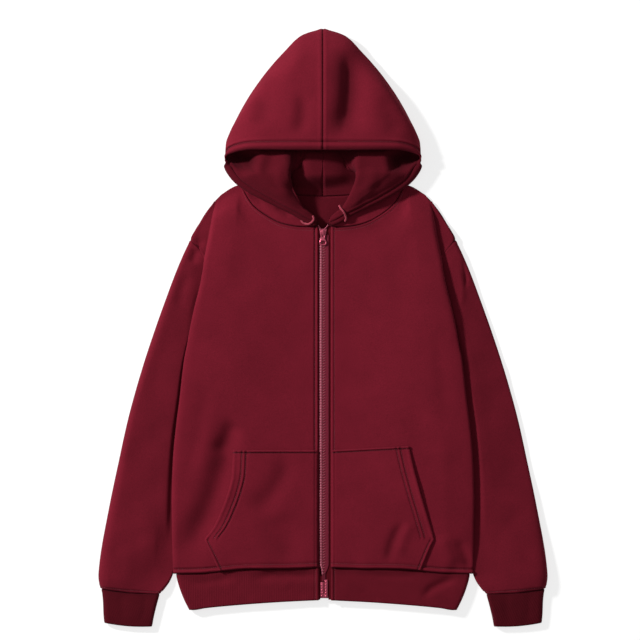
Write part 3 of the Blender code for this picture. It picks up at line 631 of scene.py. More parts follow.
front = {
    # a row for each level from the hem to the shoulder: the fold where the cloth turns under,
    # the height beside it, and the strip under it from over the sleeve (drop) to its end
    "levels": table(
        "y fold side drop dropY dropZ end endY endZ roll",
        (-404, 246.0, 14.0, 241, -404, 5.4, 232, -404, 2.6, 2.6),
        (-353, 247.6, 18.0, 237, -353, 7.0, 220, -353, 2.6, 3.6),
        (-290, 247.6, 21.0, 220, -290, 7.0, 202, -290, 2.6, 3.6),
        (-204, 243.5, 22.0, 196, -204, 7.0, 178, -204, 2.6, 3.6),
        (-122, 233.4, 22.0, 172, -122, 7.0, 154, -122, 2.6, 3.2),
        (-53, 224.7, 22.0, 153, -53, 7.2, 134, -53, 2.6, 2.0),
        (-36, 221.4, 22.0, 153, -37, 7.1, 135.5, -36, 6.9, 1.4),
        (-5, 216.5, 22.0, 162, -6, 7.0, 149, -5, 6.9, 0.6),
        (25, 211.0, 22.0, 171, 23, 7.0, 159.5, 25, 6.9, 0),
        (70, 201.0, 21.0, 184, 69, 7.4, 174.5, 71, 6.9, 0),
        (90, 197.8, 20.0, 191, 89, 8.4, 183.5, 91, 6.9, 0),
        (110, 194.5, 18.5, 194.5, 110, 9.4, 194.5, 111, 7.0, 0),
        (130, 190.5, 17.2, 191.8, 129.9, 7.8, 205.5, 128.5, 8.9, 0),
        (152, 186.0, 16.4, 187.2, 151.5, 7.8, 217, 144.5, 9.1, 0),
        (189, 179.5, 12.5, 180.8, 188, 5.2, 197, 180, 4.7, 0),
        (211, 172.0, 4.9, 177, 207, 4.7, 181.5, 203, 4.7, 0)),
    "across": (0, 0.09, 0.2, 0.31, 0.42, 0.53, 0.63, 0.71, 0.77, 0.82, 0.91, 1),
    "along": (0, 0.5, 1, 1.5, 2, 2.5, 3, 3.5, 4, 4.5, 5, 6, 7, 8, 8.5, 9, 10, 11, 12, 13, 13.5, 14, 14.5,
              15),
    "foldStart": 9.0, "foldShares": (0.22, 0.42, 0.6, 0.8, 1), "dropShare": 0.6, "dropRise": 0.85,
    "shoulderBand": 0.08, "roll": {left: 0.0, right: 1.0}, "rollFrom": 0.8, "step": 2.9,
    # the edges' rolls and grooves, and the painted shade in them and on the folded wing over the armhole
    "neckReach": 150, "wingFoot": 112,
    "hemEdge": {"rise": 1.3, "sink": 1.7, "width": 1.7}, "neckEdge": {"rise": 0.6, "sink": 0.5},
    "wingEdge": ((-0.8, 0, 1.6), (0.8, 3.6, 1.8)), "footDark": ((0.5, hemStitch, 1.6), (0.7, 0, 1.6)),
    "neckDark": ((0.6, 0, 1.8),), "foldDark": ((0.5, 0, 2),), "wingDark": 0.24,
}
frontFolds = (
    (-152, -172, -218, -362, 10, 23, 9.0),        # beside the left pocket's opening
    (-146, -156, -170, -206, 3, 15, 5.0),
    (-192, -100, -222, -250, 3, 13, 1.6),
    (-56, -222, -108, -300, 5, 17, 4.0),
    (-70, -310, -50, -380, 3, 20, 2.2),
    (130, -322, 107, -382, -4, 8, 3.2),           # the crease in the right pocket
    (146, -320, 126, -372, -4, 9, -1.8),
    (192, -345, 212, -392, 3, 12, -2.4),
    (222, -350, 240, -396, 3, 8, 3.0),
    (-200, 146, -211, 124, 0, 7, 2.4),
    (-120, 120, -165, 40, 6, 26, 0.8),
    (120, 110, 160, 10, -6, 26, 0.8),
    (60, 60, 66, -120, 5, 34, 1.2),
    (-70, 20, -60, -150, -6, 36, 1.2),
    (185, -20, 196, -180, 4, 14, 1.2),
    (150, -120, 190, -250, -6, 22, 1.6))


frontShade = ((-156, -174, -184, -236, 4, 15, 0.22), (-184, -236, -222, -362, 6, 15, 0.14),
              (30, 160, 90, 172, -2, 6, 0.3), (213, -376, 240, -396, 2, 8, 0.2),
              (-178, -60, -190, -160, 4, 16, 0.06))


def topY(out):
    return np.where(out < neck["out"][-1], read(neck, "y", "out", out), read(shoulder, "y", "out", out))


def frontLevel(along):
    levels = front["levels"]
    numbers = np.arange(len(levels["y"]))
    return {name: smooth(numbers, levels[name], along * numbers[-1]) for name in levels}


def frontPlace(across, along, gap, roll=0.0):
    levels = front["levels"]
    level = frontLevel(along)
    foldX = level["fold"] - front["foldStart"]
    height = (level["y"] - levels["y"][0]) / (levels["y"][-1] - levels["y"][0])
    hemX, headX = (blend(gap, levels["fold"][end] - front["foldStart"], across) for end in (0, -1))
    hemY = read(hemLine, "y", "out", hemX)
    y = blend(hemY, topY(headX), height)
    body = blend(zipEdge["face"], level["side"], ease(across))
    body = body - roll * level["roll"] * ease((across - front["rollFrom"]) / (1 - front["rollFrom"]))
    share = ease((height - 1 + front["shoulderBand"]) / front["shoulderBand"])
    return blend(gap, foldX, across), y, blend(body, read(neck, "z", "out", headX), share)


def frontHeight(out, y, gap):
    across, along = 0.5, 0.5
    for _ in range(40):
        hereX, hereY, _ = frontPlace(across, along, gap)
        across = min(max(across + (out - hereX) / 230, 0), 1)
        along = min(max(along + (y - hereY) / 900, 0), 1)
    return frontPlace(across, along, gap)[2]


def foldPoint(start, drop, fold, share):
    reach = (8 * fold - start[0] - drop[0]) / 6
    slope = start[1] + 0.35 * (drop[1] - start[1])
    corners = (start, (reach, slope, start[2]), (reach, drop[1], drop[2]), drop)
    rest = 1 - share
    weights = (rest ** 3, 3 * rest * rest * share, 3 * rest * share * share, share ** 3)
    return [sum(weight * corner[k] for weight, corner in zip(weights, corners)) for k in range(3)]


def frontPoints(side):
    rows = []
    for step in front["along"]:
        along = step / front["along"][-1]
        level = frontLevel(along)
        line = [frontPlace(across, along, zipEdge[side], front["roll"][side]) for across in front["across"]]
        drop = (level["drop"], level["dropY"], level["dropZ"])
        end = (level["end"], level["endY"], level["endZ"])
        line += [foldPoint(line[-1], drop, level["fold"], share) for share in front["foldShares"]]
        shares = (front["dropShare"], front["dropShare"], front["dropRise"])
        line += [[blend(b, a, share) for a, b, share in zip(drop, end, shares)], end]
        rows.append([(side * out, y, z) for out, y, z in line])
    return rows


# A few gathers where the body meets the hem band.
def gathers(x, foot):
    waves = np.sin(x / 9.0) + 0.7 * np.sin(x / 5.3 + 1.3) + 0.8 * np.sin(x / 17.0 + 0.5)
    return 0.42 * waves * np.exp(-foot / 11.0)


def makeFront(side, name):
    woven = weave(frontPoints(side), side, step=front["step"], columns={0: 1.0}, rows={0: 1.4, 22: 1.8})
    x, y = woven["net"][..., 0], woven["net"][..., 1]
    start, end, foot, head = (woven[edge] for edge in ("start", "end", "foot", "head"))
    top = ease(woven["normals"][..., 2] * 3)
    nearNeck = ease((front["neckReach"] - np.abs(x)) / 20)
    nearSleeve = ease((y - front["wingFoot"]) / 10)
    edge = welt[side]
    seams = stitchedEdge(start, zipEdge["stitch"], edge["rise"], edge["sink"], edge["width"])
    seams = seams + stitchedEdge(foot, hemStitch, **front["hemEdge"]) + gathers(x, foot)
    seams = seams + stitchedEdge(head, neckStitch, **front["neckEdge"]) * nearNeck
    seams = seams + grooves(end, front["wingEdge"]) * nearSleeve
    past = fromColumn(woven, len(front["across"]) + len(front["foldShares"]) - 1)      # beyond the fold
    # Painted shade: in the seams' and the fold's grooves, beside the zip, on the wing beyond the fold and in
    # the patches of frontShade.
    wing = seamDark[side] * groove(end, 0, 1.6) + front["wingDark"] * ease(past / 3)
    dark = darkAtZip(side, start) + grooves(foot, front["footDark"]) + foldDepth(x, y, frontShade)
    dark = dark + grooves(head, front["neckDark"]) * nearNeck
    dark = dark + (wing + grooves(past, front["foldDark"])) * nearSleeve
    woven["paintedShade"] = np.clip(dark, 0, 1) * top
    dress(woven, frontFolds, seams=seams * top)
    cloth = makeCloth(name, woven, finishes["fleece"], "fleece")
    sew(name + "Stitches", [
        lineAt(woven, start, zipEdge["stitch"]),
        lineAt(woven, foot, hemStitch, byRow=False, keep=lambda x, y, z: z > 7 and abs(x) < 240),
        lineAt(woven, head, neckStitch, byRow=False, keep=lambda x, y, z: 14 < abs(x) < 134)])


makeFront(left, "front_left")
makeFront(right, "front_right")
print("fronts made")


# Back

back = {
    "across": (0, 0.15, 0.3, 0.42, 0.53, 0.627, 0.75, 0.88, 1),
    "along": (0, 0.12, 0.24, 0.36, 0.48, 0.58, 0.65, 0.685, 0.76, 0.83, 0.89, 0.94, 0.97, 1),
    "inset": 1.8, "hemSide": 238.0, "step": 4.5,
}
backFolds = (
    (-120, 150, -60, -20, 10, 12, 1.1),
    (110, 170, 70, 20, -12, 11, 0.9),
    (-150, -120, -60, -260, 8, 14, 1.2),
    (160, -90, 90, -240, -8, 12, 1.0),
    (-30, -60, 40, -330, 14, 10, 0.8),
    (-190, -300, -120, -380, -4, 9, 0.9),
    (180, -290, 130, -385, 5, 10, 0.9))


def backEdge(y):
    underarm = armhole["y"][0]
    if y >= underarm:
        return read(armhole, "out", "y", y) - back["inset"]
    share = (y - hemSeam) / (underarm - hemSeam)
    return blend(back["hemSide"], armhole["out"][0] - back["inset"], share)


def makeBack():
    shoulderY = shoulder["y"][-1]
    rows = []
    for level in back["along"]:
        edgeY = hemSeam + level * (shoulderY - hemSeam)
        line = []
        for share in back["across"]:
            head = share * backEdge(shoulderY)
            onNeck = head < backNeck["out"][-1]
            headY = read(backNeck, "y", "out", head) if onNeck else read(shoulder, "y", "out", head)
            line.append((share * backEdge(edgeY), hemSeam + level * (headY - hemSeam), 0))
        rows.append([(-out, y, z) for out, y, z in line[:0:-1]] + line)
    woven = weave(rows, -1, step=back["step"])
    dress(woven, under=backFolds)
    cloth = makeCloth("back", woven, finishes["fleece"], "fleece")


makeBack()
print("back made")


# Sleeves

sleeve = {
    # a row for each station from the armhole to the cuff: both ends of the line across the
    # sleeve, its height where the body lies on it and its height where it is free
    "stations": table(
        "step inOut inY outer outerY low puff",
        (0.00, 139, -29, 218.0, 143.5, 6.4, 9.2),
        (0.05, 144, -48, 229.5, 118.0, 6.4, 10.6),
        (0.12, 152, -75, 241.5, 87.0, 6.4, 13.0),
        (0.22, 163, -113, 257.5, 44.0, 6.4, 16.0),
        (0.35, 177, -161, 277.0, -11.0, 6.4, 18.0),
        (0.50, 193, -217, 298.0, -76.0, 6.4, 18.0),
        (0.68, 212, -285, 318.5, -150.0, 6.4, 18.0),
        (0.85, 230, -349, 341.5, -256.0, 6.4, 19.0),
        (0.93, 239, -379, 354.5, -320.0, 6.4, 19.0),
        (1.00, 246, -404, 365.5, -386.0, 6.4, 19.0),
        (1.03, 251, -416, 367.3, -408.0, 8.5, 19.0),
        (1.06, 260, -429, 366.0, -421.0, 11.0, 17.0),
        (1.075, 265, -434, 365.0, -426.5, 11.5, 14.5),
        (1.085, 268.5, -437, 362.8, -428.7, 11.0, 11.5)),
    "steps": (0, 0.05, 0.12, 0.22, 0.33, 0.45, 0.57, 0.69, 0.8, 0.9, 1.0, 1.03, 1.06, 1.075, 1.085),
    "margin": {left: 2.0, right: 4.0}, "full": 1.3, "dip": 2.5, "step": 3.0, "stitch": 4.5,
    "footEdge": ((-0.7, 0, 1.4), (0.4, 3.5, 2.0)), "headEdge": ((-0.7, 4.5, 1.3), (0.3, 2.0, 1.6)),
    "headDark": ((0.8, 0, 1.5), (0.4, 4.5, 1.4)),
    # how the free part lies: its share of the height, that share beside the body and at the outer
    # edge, and the share of its width in which it rises
    "lie": {left: {"full": 0.8, "near": 0.70, "far": 1.0, "rise": 0.12},
            right: {"full": 0.55, "near": 1.0, "far": 0.5, "rise": 0.25}},
}
evenLie = {"full": 1.0, "near": 1.0, "far": 1.0, "rise": 1.0}
tube = {"bottom": 7, "side": (-60, -30, 0, 30, 60), "inner": (135, 180, 225), "tip": wall + 0.2,
        "top": (1, 0.75, 0.5, 0.32, 0.2, 0.1, 0.04, 0)}
sleeveFolds = {
    left: (
        (-207, 128, -214, 106, 0, 7, 3.0),
        (-222, 84, -236, 34, -3, 9, 1.6),
        (-262, -20, -300, -120, 8, 22, 1.3),
        (-250, -160, -320, -230, -8, 20, 1.2),
        (-262, -250, -338, -300, 6, 18, 1.0),
        (-275, -340, -350, -372, -5, 14, 1.2),
        (-290, -300, -296, -400, 5, 16, -0.9)),
    right: (
        (221, 98, 229, 40, 3, 5, -1.4),
        (229, 110, 235, 66, 2, 3, 1.8),
        (262, 30, 290, -60, 6, 18, 1.4),
        (300, -90, 268, -170, -8, 20, 1.2),
        (322, -200, 270, -270, 8, 20, 1.2),
        (340, -300, 280, -350, -6, 16, 1.1),
        (300, -330, 306, -410, 4, 15, -0.9)),
}
sleeveUnder = {
    left: ((-180, 40, -260, -40, 8, 11, 1.0), (-230, -150, -310, -210, -6, 12, 1.1),
           (-270, -300, -345, -340, 4, 10, 0.9)),
    right: ((190, 30, 265, -60, -8, 12, 1.0), (240, -190, 315, -240, 6, 11, 1.1),
            (262, -320, 350, -370, -5, 12, 0.9)),
}


def tubeSection(width, low, puff, covered, near=1.0, far=1.0, rise=1.0):
    inner = low / 2
    covered = min(max(covered, inner * 1.6), width * 0.82)
    shelf = max(0.36 * puff, inner if puff < 2 * low else 0)
    outer = min(0.36 * (width - covered), shelf * shelf / tube["tip"], 17)
    start = width - outer
    shelf = min(shelf, 0.6 * puff * far)
    line = [(along, 0.0) for along in np.linspace(inner, start, tube["bottom"])]
    for angle in np.radians(tube["side"]):
        reach = shelf if angle < 0 else puff * far - shelf
        line.append((start + outer * np.cos(angle), shelf + reach * np.sin(angle)))
    for share in tube["top"]:
        high = puff * blend(near, far, share)
        line.append((blend(covered, start, share), blend(low, high, ease(share / rise))))
    for along in (covered * 0.62 + inner * 0.38, covered * 0.28 + inner * 0.72, inner):
        line.append((along, low))
    for angle in np.radians(tube["inner"]):
        line.append((inner + inner * np.cos(angle), inner + inner * np.sin(angle)))
    return line


# Share of a line across the sleeve that the body's fold lies on.
def foldCover(inner, outer):
    low, high = 0.0, 1.0
    for _ in range(24):
        middle = (low + high) / 2
        x, y = (blend(a, b, middle) for a, b in zip(inner, outer))
        if y < hemSeam or x > smooth(front["levels"]["y"], front["levels"]["fold"], y):
            high = middle
        else:
            low = middle
    return low


def sleevePoints(side):
    lowEnd, highEnd = armhole["y"][0], armhole["y"][-1]
    rows = []
    for step in sleeve["steps"]:
        station = rowAt(sleeve["stations"], "step", step)
        inner = (station["inOut"], station["inY"])
        full = sleeve["full"] * ease(step / 0.12)       # the outer edge is a little fuller than its solid's
        outer = (station["outer"] + full, station["outerY"] + 0.3 * full)
        width = np.hypot(outer[0] - inner[0], outer[1] - inner[1])
        covered = foldCover(inner, outer) * width + sleeve["margin"][side]
        bow = max(0, 1 - step / 0.33) ** 1.5
        free = ease(step / 0.2) * ease((1.08 - step) / 0.3)
        lie = {key: blend(value, evenLie[key], 1 - free) for key, value in sleeve["lie"][side].items()}
        puff = blend(station["low"], station["puff"], lie.pop("full"))
        line = []
        for along, z in tubeSection(width, station["low"], puff, covered, **lie):
            share = along / width
            chord = blend(armhole["out"][0], armhole["out"][-1], share)
            bend = (read(armhole, "out", "y", blend(lowEnd, highEnd, share)) - chord) * bow
            x = blend(inner[0], outer[0], share) + bend
            dip = sleeve["dip"] * ease((step - 1) / 0.085) * math.sin(math.pi * min(max(share, 0), 1))
            line.append((side * x, blend(inner[1], outer[1], share) - dip, z))
        rows.append(line)
    return rows


def makeSleeve(side, name):
    woven = weave(sleevePoints(side), side, ring=True, step=sleeve["step"], rows={0: 1.6, 12: 1.2, 13: 1.0})
    around = woven["start"]
    seams = grooves(woven["foot"], sleeve["footEdge"]) + grooves(woven["head"], sleeve["headEdge"])
    seams = seams + 0.5 * np.sin(around / 7.0) * np.sin(around / 23.0 + 1) * np.exp(-woven["head"] / 12.0)
    # Painted shade in the grooves of the armhole seam and of the cuff's seam and stitching.
    dark = seamDark[side] * groove(woven["foot"], 0, 1.5) + grooves(woven["head"], sleeve["headDark"])
    woven["paintedShade"] = np.clip(dark, 0, 1)
    dress(woven, sleeveFolds[side], sleeveUnder[side], seams=seams)
    cloth = makeCloth(name, woven, finishes["sleeve"], "fleece")
    sew(name + "Stitches", [lineAt(woven, woven["head"], sleeve["stitch"], byRow=False)])
    closeSeam(name + "Armhole", woven["net"][0], woven["normals"][0], half=2.4, sunk=1.0)
    closeSeam(name + "Seam", woven["net"][-1] - (0, 0.2, 0), woven["normals"][-1], half=2.2, sunk=0.35)


makeSleeve(left, "sleeve_left")
makeSleeve(right, "sleeve_right")
print("sleeves made")


# Cuffs

cuff = {
    "rings": table("step inOut inY outer outerY height", (0.0, 268, -437.5, 364, -429.2, 11.5),
                   (0.25, 271.5, -450, 361.5, -442, 11.5), (0.7, 277.5, -474, 360.5, -468, 11.0),
                   (1.0, 280.5, -490.5, 359.0, -484.5, 10.0)),
    "steps": (0, 0.12, 0.4, 0.75, 1), "dip": 2.5, "step": 2.4,
    "footDark": ((0.6, 0, 2.2),),
}
cuffFolds = {
    left: ((-292, -436, -298, -482, 2, 6, 0.7), (-330, -436, -326, -478, -2, 8, 0.8)),
    right: ((300, -436, 306, -484, -2, 7, 0.8), (338, -436, 334, -480, 2, 6, 0.7)),
}


def makeCuff(side, name):
    rows = []
    for step in cuff["steps"]:
        ring = rowAt(cuff["rings"], "step", step)
        inner = (ring["inOut"], ring["inY"])
        outer = (ring["outer"], ring["outerY"])
        width = np.hypot(outer[0] - inner[0], outer[1] - inner[1])
        line = []
        for along, z in tubeSection(width, ring["height"], ring["height"], width * 0.7):
            share = along / width
            dip = cuff["dip"] * (np.sin(np.pi * share) if 0 < share < 1 else 0)
            y = blend(inner[1], outer[1], share) - dip - seamGap
            line.append((side * blend(inner[0], outer[0], share), y, z))
        rows.append(line)
    woven = weave(rows, side, ring=True, step=cuff["step"])
    seams = -0.6 * groove(woven["foot"], 0, 1.4) - 0.5 * ease(1 - woven["head"] / 1.6)
    # Painted shade in the groove of the seam to the sleeve.
    woven["paintedShade"] = grooves(woven["foot"], cuff["footDark"])
    dress(woven, cuffFolds[side], seams=seams)
    cloth = makeCloth(name, woven, finishes["cuff"], "rib")


makeCuff(left, "cuff_left")
makeCuff(right, "cuff_right")
print("cuffs made")


# Hem band

band = {
    "start": {left: 6.8, right: 13.0}, "topSide": 241.0, "bottomSide": 219.5, "height": 12.0, "short": 3.0,
    "front": (0, 0.1, 0.25, 0.42, 0.6, 0.77, 0.9, 1), "back": (1, 0.82, 0.62, 0.42, 0.21, 0),
    "levels": (0, 0.08, 0.36, 0.7, 1), "angles": (60, 30, 0, -30, -60), "step": 3.0,
    "footDark": ((0.7, 0, 1.8),), "belowDark": ((0.25, 4.0, 6.0),),
}
bandFolds = (
    (-110, -410, -14, -408, 2, 8, 3.6),
    (166, -438, 214, -413, 3, 7, 3.6),
    (60, -404, 150, -408, -2, 6, 1.4),
    (-216, -420, -150, -410, -2, 7, 1.6),
    (-150, -425, -120, -450, 2, 10, 1.0),
    (-60, -424, -30, -446, 2, 12, 0.9),
    (60, -430, 90, -450, 2, 12, 0.9))


def bandHalf(side, level):
    half = blend(band["topSide"], band["bottomSide"], level ** 1.4)
    radius = band["height"] / 2
    start = band["start"][side]
    line = []

    def frontY(out):
        top = read(hemLine, "y", "out", out) - 2.5 * seamGap
        return blend(top, read(hemBottom, "y", "out", out), level)

    for share in band["front"]:
        out = blend(start, half - radius, share)
        z = blend(zipEdge["face"], band["height"], ease(share * 3))
        line.append((side * out, frontY(out), z))
    edge = frontY(half - radius)
    for angle in np.radians(band["angles"]):
        line.append((side * (half - radius + radius * np.cos(angle)), edge, radius + radius * np.sin(angle)))
    for share in band["back"]:
        out = share * (half - radius)
        top = hemSeam - 2.5 * seamGap
        bottom = read(hemBottom, "y", "out", out) + band["short"] * ease(4 - 4 * share)
        line.append((side * out, edge if share == 1 else blend(top, bottom, level), 0))
    return line


def makeBand():
    rows = [bandHalf(left, level) + bandHalf(right, level)[-2::-1] for level in band["levels"]]
    woven = weave(rows, 1, step=band["step"], columns={0: 1.2, 35: 1.2}, rows={0: 1.0})
    top = ease(woven["normals"][..., 2] * 3)
    seams = -0.7 * groove(woven["foot"], 0, 1.4) - 0.5 * ease(1 - woven["head"] / 1.8)
    for edge in ("start", "end"):
        seams = seams + stitchedEdge(woven[edge], zipEdge["stitch"])
    # Painted shade in the seam's groove and on the band just below it.
    woven["paintedShade"] = grooves(woven["foot"], band["footDark"] + band["belowDark"]) * top
    dress(woven, bandFolds, seams=seams * top)
    closeSeam("hemSeam", woven["net"][0] + (0, 0.4, 0), woven["normals"][0], "rib")
    cloth = makeCloth("hem_band", woven, finishes["rib"], "rib")
    lines = [lineAt(woven, woven[edge], zipEdge["stitch"]) for edge in ("start", "end")]
    sew("hem_bandStitches", lines)


makeBand()
print("hem band made")


# Pockets

openRows = (14.0, 20.4)      # the two rows of stitches beside the opening
pocket = {
    "edge": {left: table("y out", (-396, 171), (-372, 182), (-350, 192.8), (-346, 194.4), (-342, 192.2),
                         (-328, 181), (-302, 168), (-270, 156), (-237, 149), (-202, 147.6)),
             right: table("y out", (-396, 161), (-372, 170.8), (-350, 180.2), (-346, 182.4), (-342, 181.6),
                          (-328, 177.4), (-299, 168.2), (-259, 156), (-230, 148), (-202, 141.5))},
    "across": (0, 0.16, 0.36, 0.56, 0.76, 0.92, 1),
    "levels": (0, 0.12, 0.239, 0.26, 0.281, 0.36, 0.49, 0.64, 0.8, 0.93, 1),
    "topRise": {left: 0.0, right: 7.0},
    "top": -201.0, "foot": -397.0, "inset": 2.0, "lift": wall + 0.6, "opening": -346.0, "lean": 0.93,
    "sideStitch": 5.4, "topStitch": 4.6, "step": 2.4,
    "gape": 2.4, "gapeWidth": 17.0, "gapeMiddle": -262.0, "gapeReach": 46.0,
    "openEdge": ((1.0, 3.0, 2.6), *((-1.2, at, 1.2) for at in openRows), (0.7, sum(openRows) / 2, 1.9)),
    "openDark": [(0.6, at, 1.4) for at in openRows], "sideDark": ((0.55, 5.4, 1.4),),
    "topDark": ((0.65, 4.6, 1.6),), "footDark": ((0.5, hemStitch, 1.6),),
}


def pocketPoints(side):
    gap = zipEdge[side]
    inner = gap + pocket["inset"]
    rows = []
    for level in pocket["levels"]:
        edgeY = blend(pocket["foot"], pocket["top"], level)
        line = []
        for share in pocket["across"]:
            out = blend(inner, read(pocket["edge"][side], "out", "y", edgeY), share)
            foot = read(hemLine, "y", "out", out) + 1.5
            y = blend(foot, pocket["top"] + share * level * pocket["topRise"][side], level)
            line.append((side * out, y, frontHeight(out, y, gap) + pocket["lift"]))
        rows.append(line)
    return rows


pocketShade = ((-56, -226, -112, -300, 5, 15, 0.16), (-110, -330, -60, -384, 5, 24, 0.10),
               (128, -330, 108, -380, -4, 8, 0.25), (80, -330, 150, -380, 0, 26, 0.06))


def makePocket(side, name):
    woven = weave(pocketPoints(side), side, step=pocket["step"], columns={4: 1.3, 5: 1.0, 0: 1.6},
                  rows={9: 1.1})
    x, y = woven["net"][..., 0], woven["net"][..., 1]
    reach = woven["end"] * pocket["lean"]      # the opening leans, so a distance along a row is longer
    zipReach, hemReach = woven["start"] + pocket["inset"], woven["foot"] + 1.5
    opening = ease((y - pocket["opening"] + 4) / 8)
    atOpening = grooves(reach, pocket["openEdge"]) - 0.7 * ease(1 - reach / 1.3)
    gape = ease(1 - reach / pocket["gapeWidth"]) * groove(y, pocket["gapeMiddle"], pocket["gapeReach"])
    seams = atOpening * opening + stitchedEdge(reach, pocket["sideStitch"]) * (1 - opening)
    seams = seams + stitchedEdge(woven["head"], pocket["topStitch"], rise=1.1, sink=1.6)
    seams = seams + gape * pocket["gape"]
    seams = seams - 0.7 * groove(zipReach, zipEdge["stitch"], 1.2) - 0.8 * ease(1 - woven["start"] / 2.0)
    seams = seams + stitchedEdge(hemReach, hemStitch, 1.1, 1.4, 1.6) + gathers(x, hemReach)
    # Painted shade in the grooves of the stitching and seams, beside the zip and in the patches of
    # pocketShade.
    dark = grooves(reach, pocket["openDark"]) * opening + grooves(reach, pocket["sideDark"]) * (1 - opening)
    dark = dark + grooves(woven["head"], pocket["topDark"]) + grooves(hemReach, pocket["footDark"])
    dark = dark + darkAtZip(side, zipReach) + foldDepth(x, y, pocketShade)
    woven["paintedShade"] = np.clip(dark, 0, 1)
    dress(woven, frontFolds, seams=seams)
    cloth = makeCloth(name, woven, finishes["fleece"], "fleece")
    corner = pocket["opening"]
    lines = [lineAt(woven, reach, at, keep=lambda x, y, z: y > corner) for at in openRows]
    lines.append(lineAt(woven, reach, pocket["sideStitch"], keep=lambda x, y, z: y < corner - 2))
    lines.append(lineAt(woven, woven["head"], pocket["topStitch"], byRow=False))
    lines.append(lineAt(woven, hemReach, hemStitch, byRow=False))
    sew(name + "Stitches", lines)


makePocket(left, "pocket_left")
makePocket(right, "pocket_right")
print("pockets made")


# Hood

# sections from the front edge to the centre seam, a table for each line that they cross,
# all by the same levels from the neck seam up to the crown seam
hoodLevels = (0, 0.06, 0.12, 0.25, 0.37, 0.45, 0.5, 0.55, 0.66, 0.8, 0.91, 1.0)
hoodLines = {name: table("out y z", *rows) for name, rows in {
    "edge": ((14.5, 168.4, 12.8), (28, 174.5, 13.2), (48, 187, 14.4), (98, 211.5, 16), (139, 235, 15),
        (159.5, 262, 14.5), (160.8, 276, 24), (150, 284.5, 29), (117, 290.5, 41), (68, 290, 45.5),
        (32, 289.5, 47), (0, 289.5, 48)),
    "casing": ((13.6, 168.6, 12.9), (25.5, 175.5, 14.4), (44.5, 188.8, 17), (93, 216, 19.5),
        (132, 241.5, 20), (150, 263, 19), (161.0, 277.5, 16.5), (156, 292, 26), (120, 303, 42),
        (70, 304, 47), (33, 304, 49), (0, 304, 50)),
    "brim": ((12.7, 168.8, 13), (23.5, 176.7, 14.9), (42, 190.2, 18.6), (88, 219, 24), (126, 245, 26),
        (144, 264, 17), (160.4, 279.5, 8), (159.5, 296, 18.5), (130, 322, 37), (84, 345, 45), (42, 352, 49),
        (0, 355, 50)),
    "crown": ((11.8, 169, 13), (21.5, 178, 15.3), (39.5, 191.6, 19.5), (82, 221.5, 28.5), (119, 248, 30),
        (133, 264, 12), (152, 281.5, 3), (159.3, 299.5, 11.5), (139, 340, 26), (96, 395, 32), (52, 425, 36),
        (0, 440, 38)),
    "fold": ((10.9, 169.2, 13), (19.5, 179.3, 15.4), (37.3, 192.8, 20), (75, 223.6, 31), (110, 250.5, 33),
        (119, 264, 14), (128, 283, 3), (156, 302, 5), (141.5, 343, 9), (100.5, 409, 11), (60, 456, 12),
        (0, 487, 13)),
    "crest": ((10, 169.4, 12.9), (17.5, 180.6, 15), (35, 194, 20), (67, 225.4, 31), (98, 251, 36),
        (101, 264, 32), (98, 283, 27), (112, 297, 18), (137, 338, 0.8), (97, 407, 2), (59, 455, 3),
        (0, 491.1, 5.5)),
    "ridge": ((9.3, 169.2, 12.4), (15.5, 181.6, 13.8), (32, 195.3, 18.5), (50, 228, 27), (57, 249, 31),
        (59, 263, 31), (60, 280, 27), (62, 296, 18), (112, 335, 0), (88, 402, 0), (54, 448, 0),
        (0, 484, 0.5)),
    "foot": ((10.5, 167.2, 11.5), (19, 176.5, 11.9), (35, 190, 13.5), (53, 223, 20), (60, 246, 25.5),
        (54, 263.5, 23), (52, 279, 17), (52, 294, 10), (92, 333, 0), (72, 398, 0), (44, 441, 0),
        (0, 476, 0)),
    "under": ((73.5, 173.9, 11.3), (71, 180, 11.7), (69, 189, 12.2), (72, 214, 14.4), (70, 239, 18),
        (50, 264, 13), (46, 278.5, 8), (44, 292, 4), (72, 332, 0), (56, 394, 0), (34, 436, 0), (0, 469, 0)),
    "side": ((127.5, 220.5, 6.6), (121.5, 224, 7.2), (115.5, 226, 7.8), (104, 228, 8.8), (84, 237, 10),
        (46, 264, 6), (41, 278, 3), (37, 291, 1.5), (53, 331, 0), (42, 391, 0), (25, 431, 0), (0, 463, 0)),
    "lip": ((133.8, 232.9, 5.4), (127.5, 233.3, 5.6), (122, 233.8, 5.8), (109, 236.3, 6), (88, 242, 6.4),
        (43.5, 264, 3.8), (38.5, 277.8, 2), (33.5, 290.8, 1), (44, 330.5, 0), (35, 390, 0), (21, 429, 0),
        (0, 460, 0)),
    "turn": ((133.6, 236.6, 2.7), (127.3, 237, 2.8), (121.8, 237.6, 2.9), (109, 240.2, 3), (88, 246, 3),
        (41, 264, 1.6), (36, 277.5, 0.9), (30, 290.5, 0.4), (35, 330, 0), (28, 389, 0), (17, 427, 0),
        (0, 457, 0)),
    "floor": ((130.5, 235, 0), (124.5, 235.5, 0), (119, 236.2, 0), (106, 238.7, 0), (85, 244.5, 0),
        (37, 264, 0.3), (31, 277, 0), (25, 290, 0), (27, 330, 0), (21, 388, 0), (12.5, 425.5, 0),
        (0, 454.5, 0)),
    "nape": ((60, 220.5, 0), (58, 225, 0), (55, 230, 0), (50, 240.5, 0), (40, 251, 0), (16, 264, 0),
        (13, 277, 0), (10, 290, 0), (8.5, 330, 0), (7, 386, 0), (4.2, 422.5, 0), (0, 450, 0)),
    "centre": ((0, 215.8, 0), (0, 220.5, 0), (0, 226, 0), (0, 238, 0), (0, 252, 0), (0, 264, 0),
        (0, 277, 0), (0, 290, 0), (0, 330, 0), (0, 385, 0), (0, 421, 0), (0, 448, 0)),
}.items()}
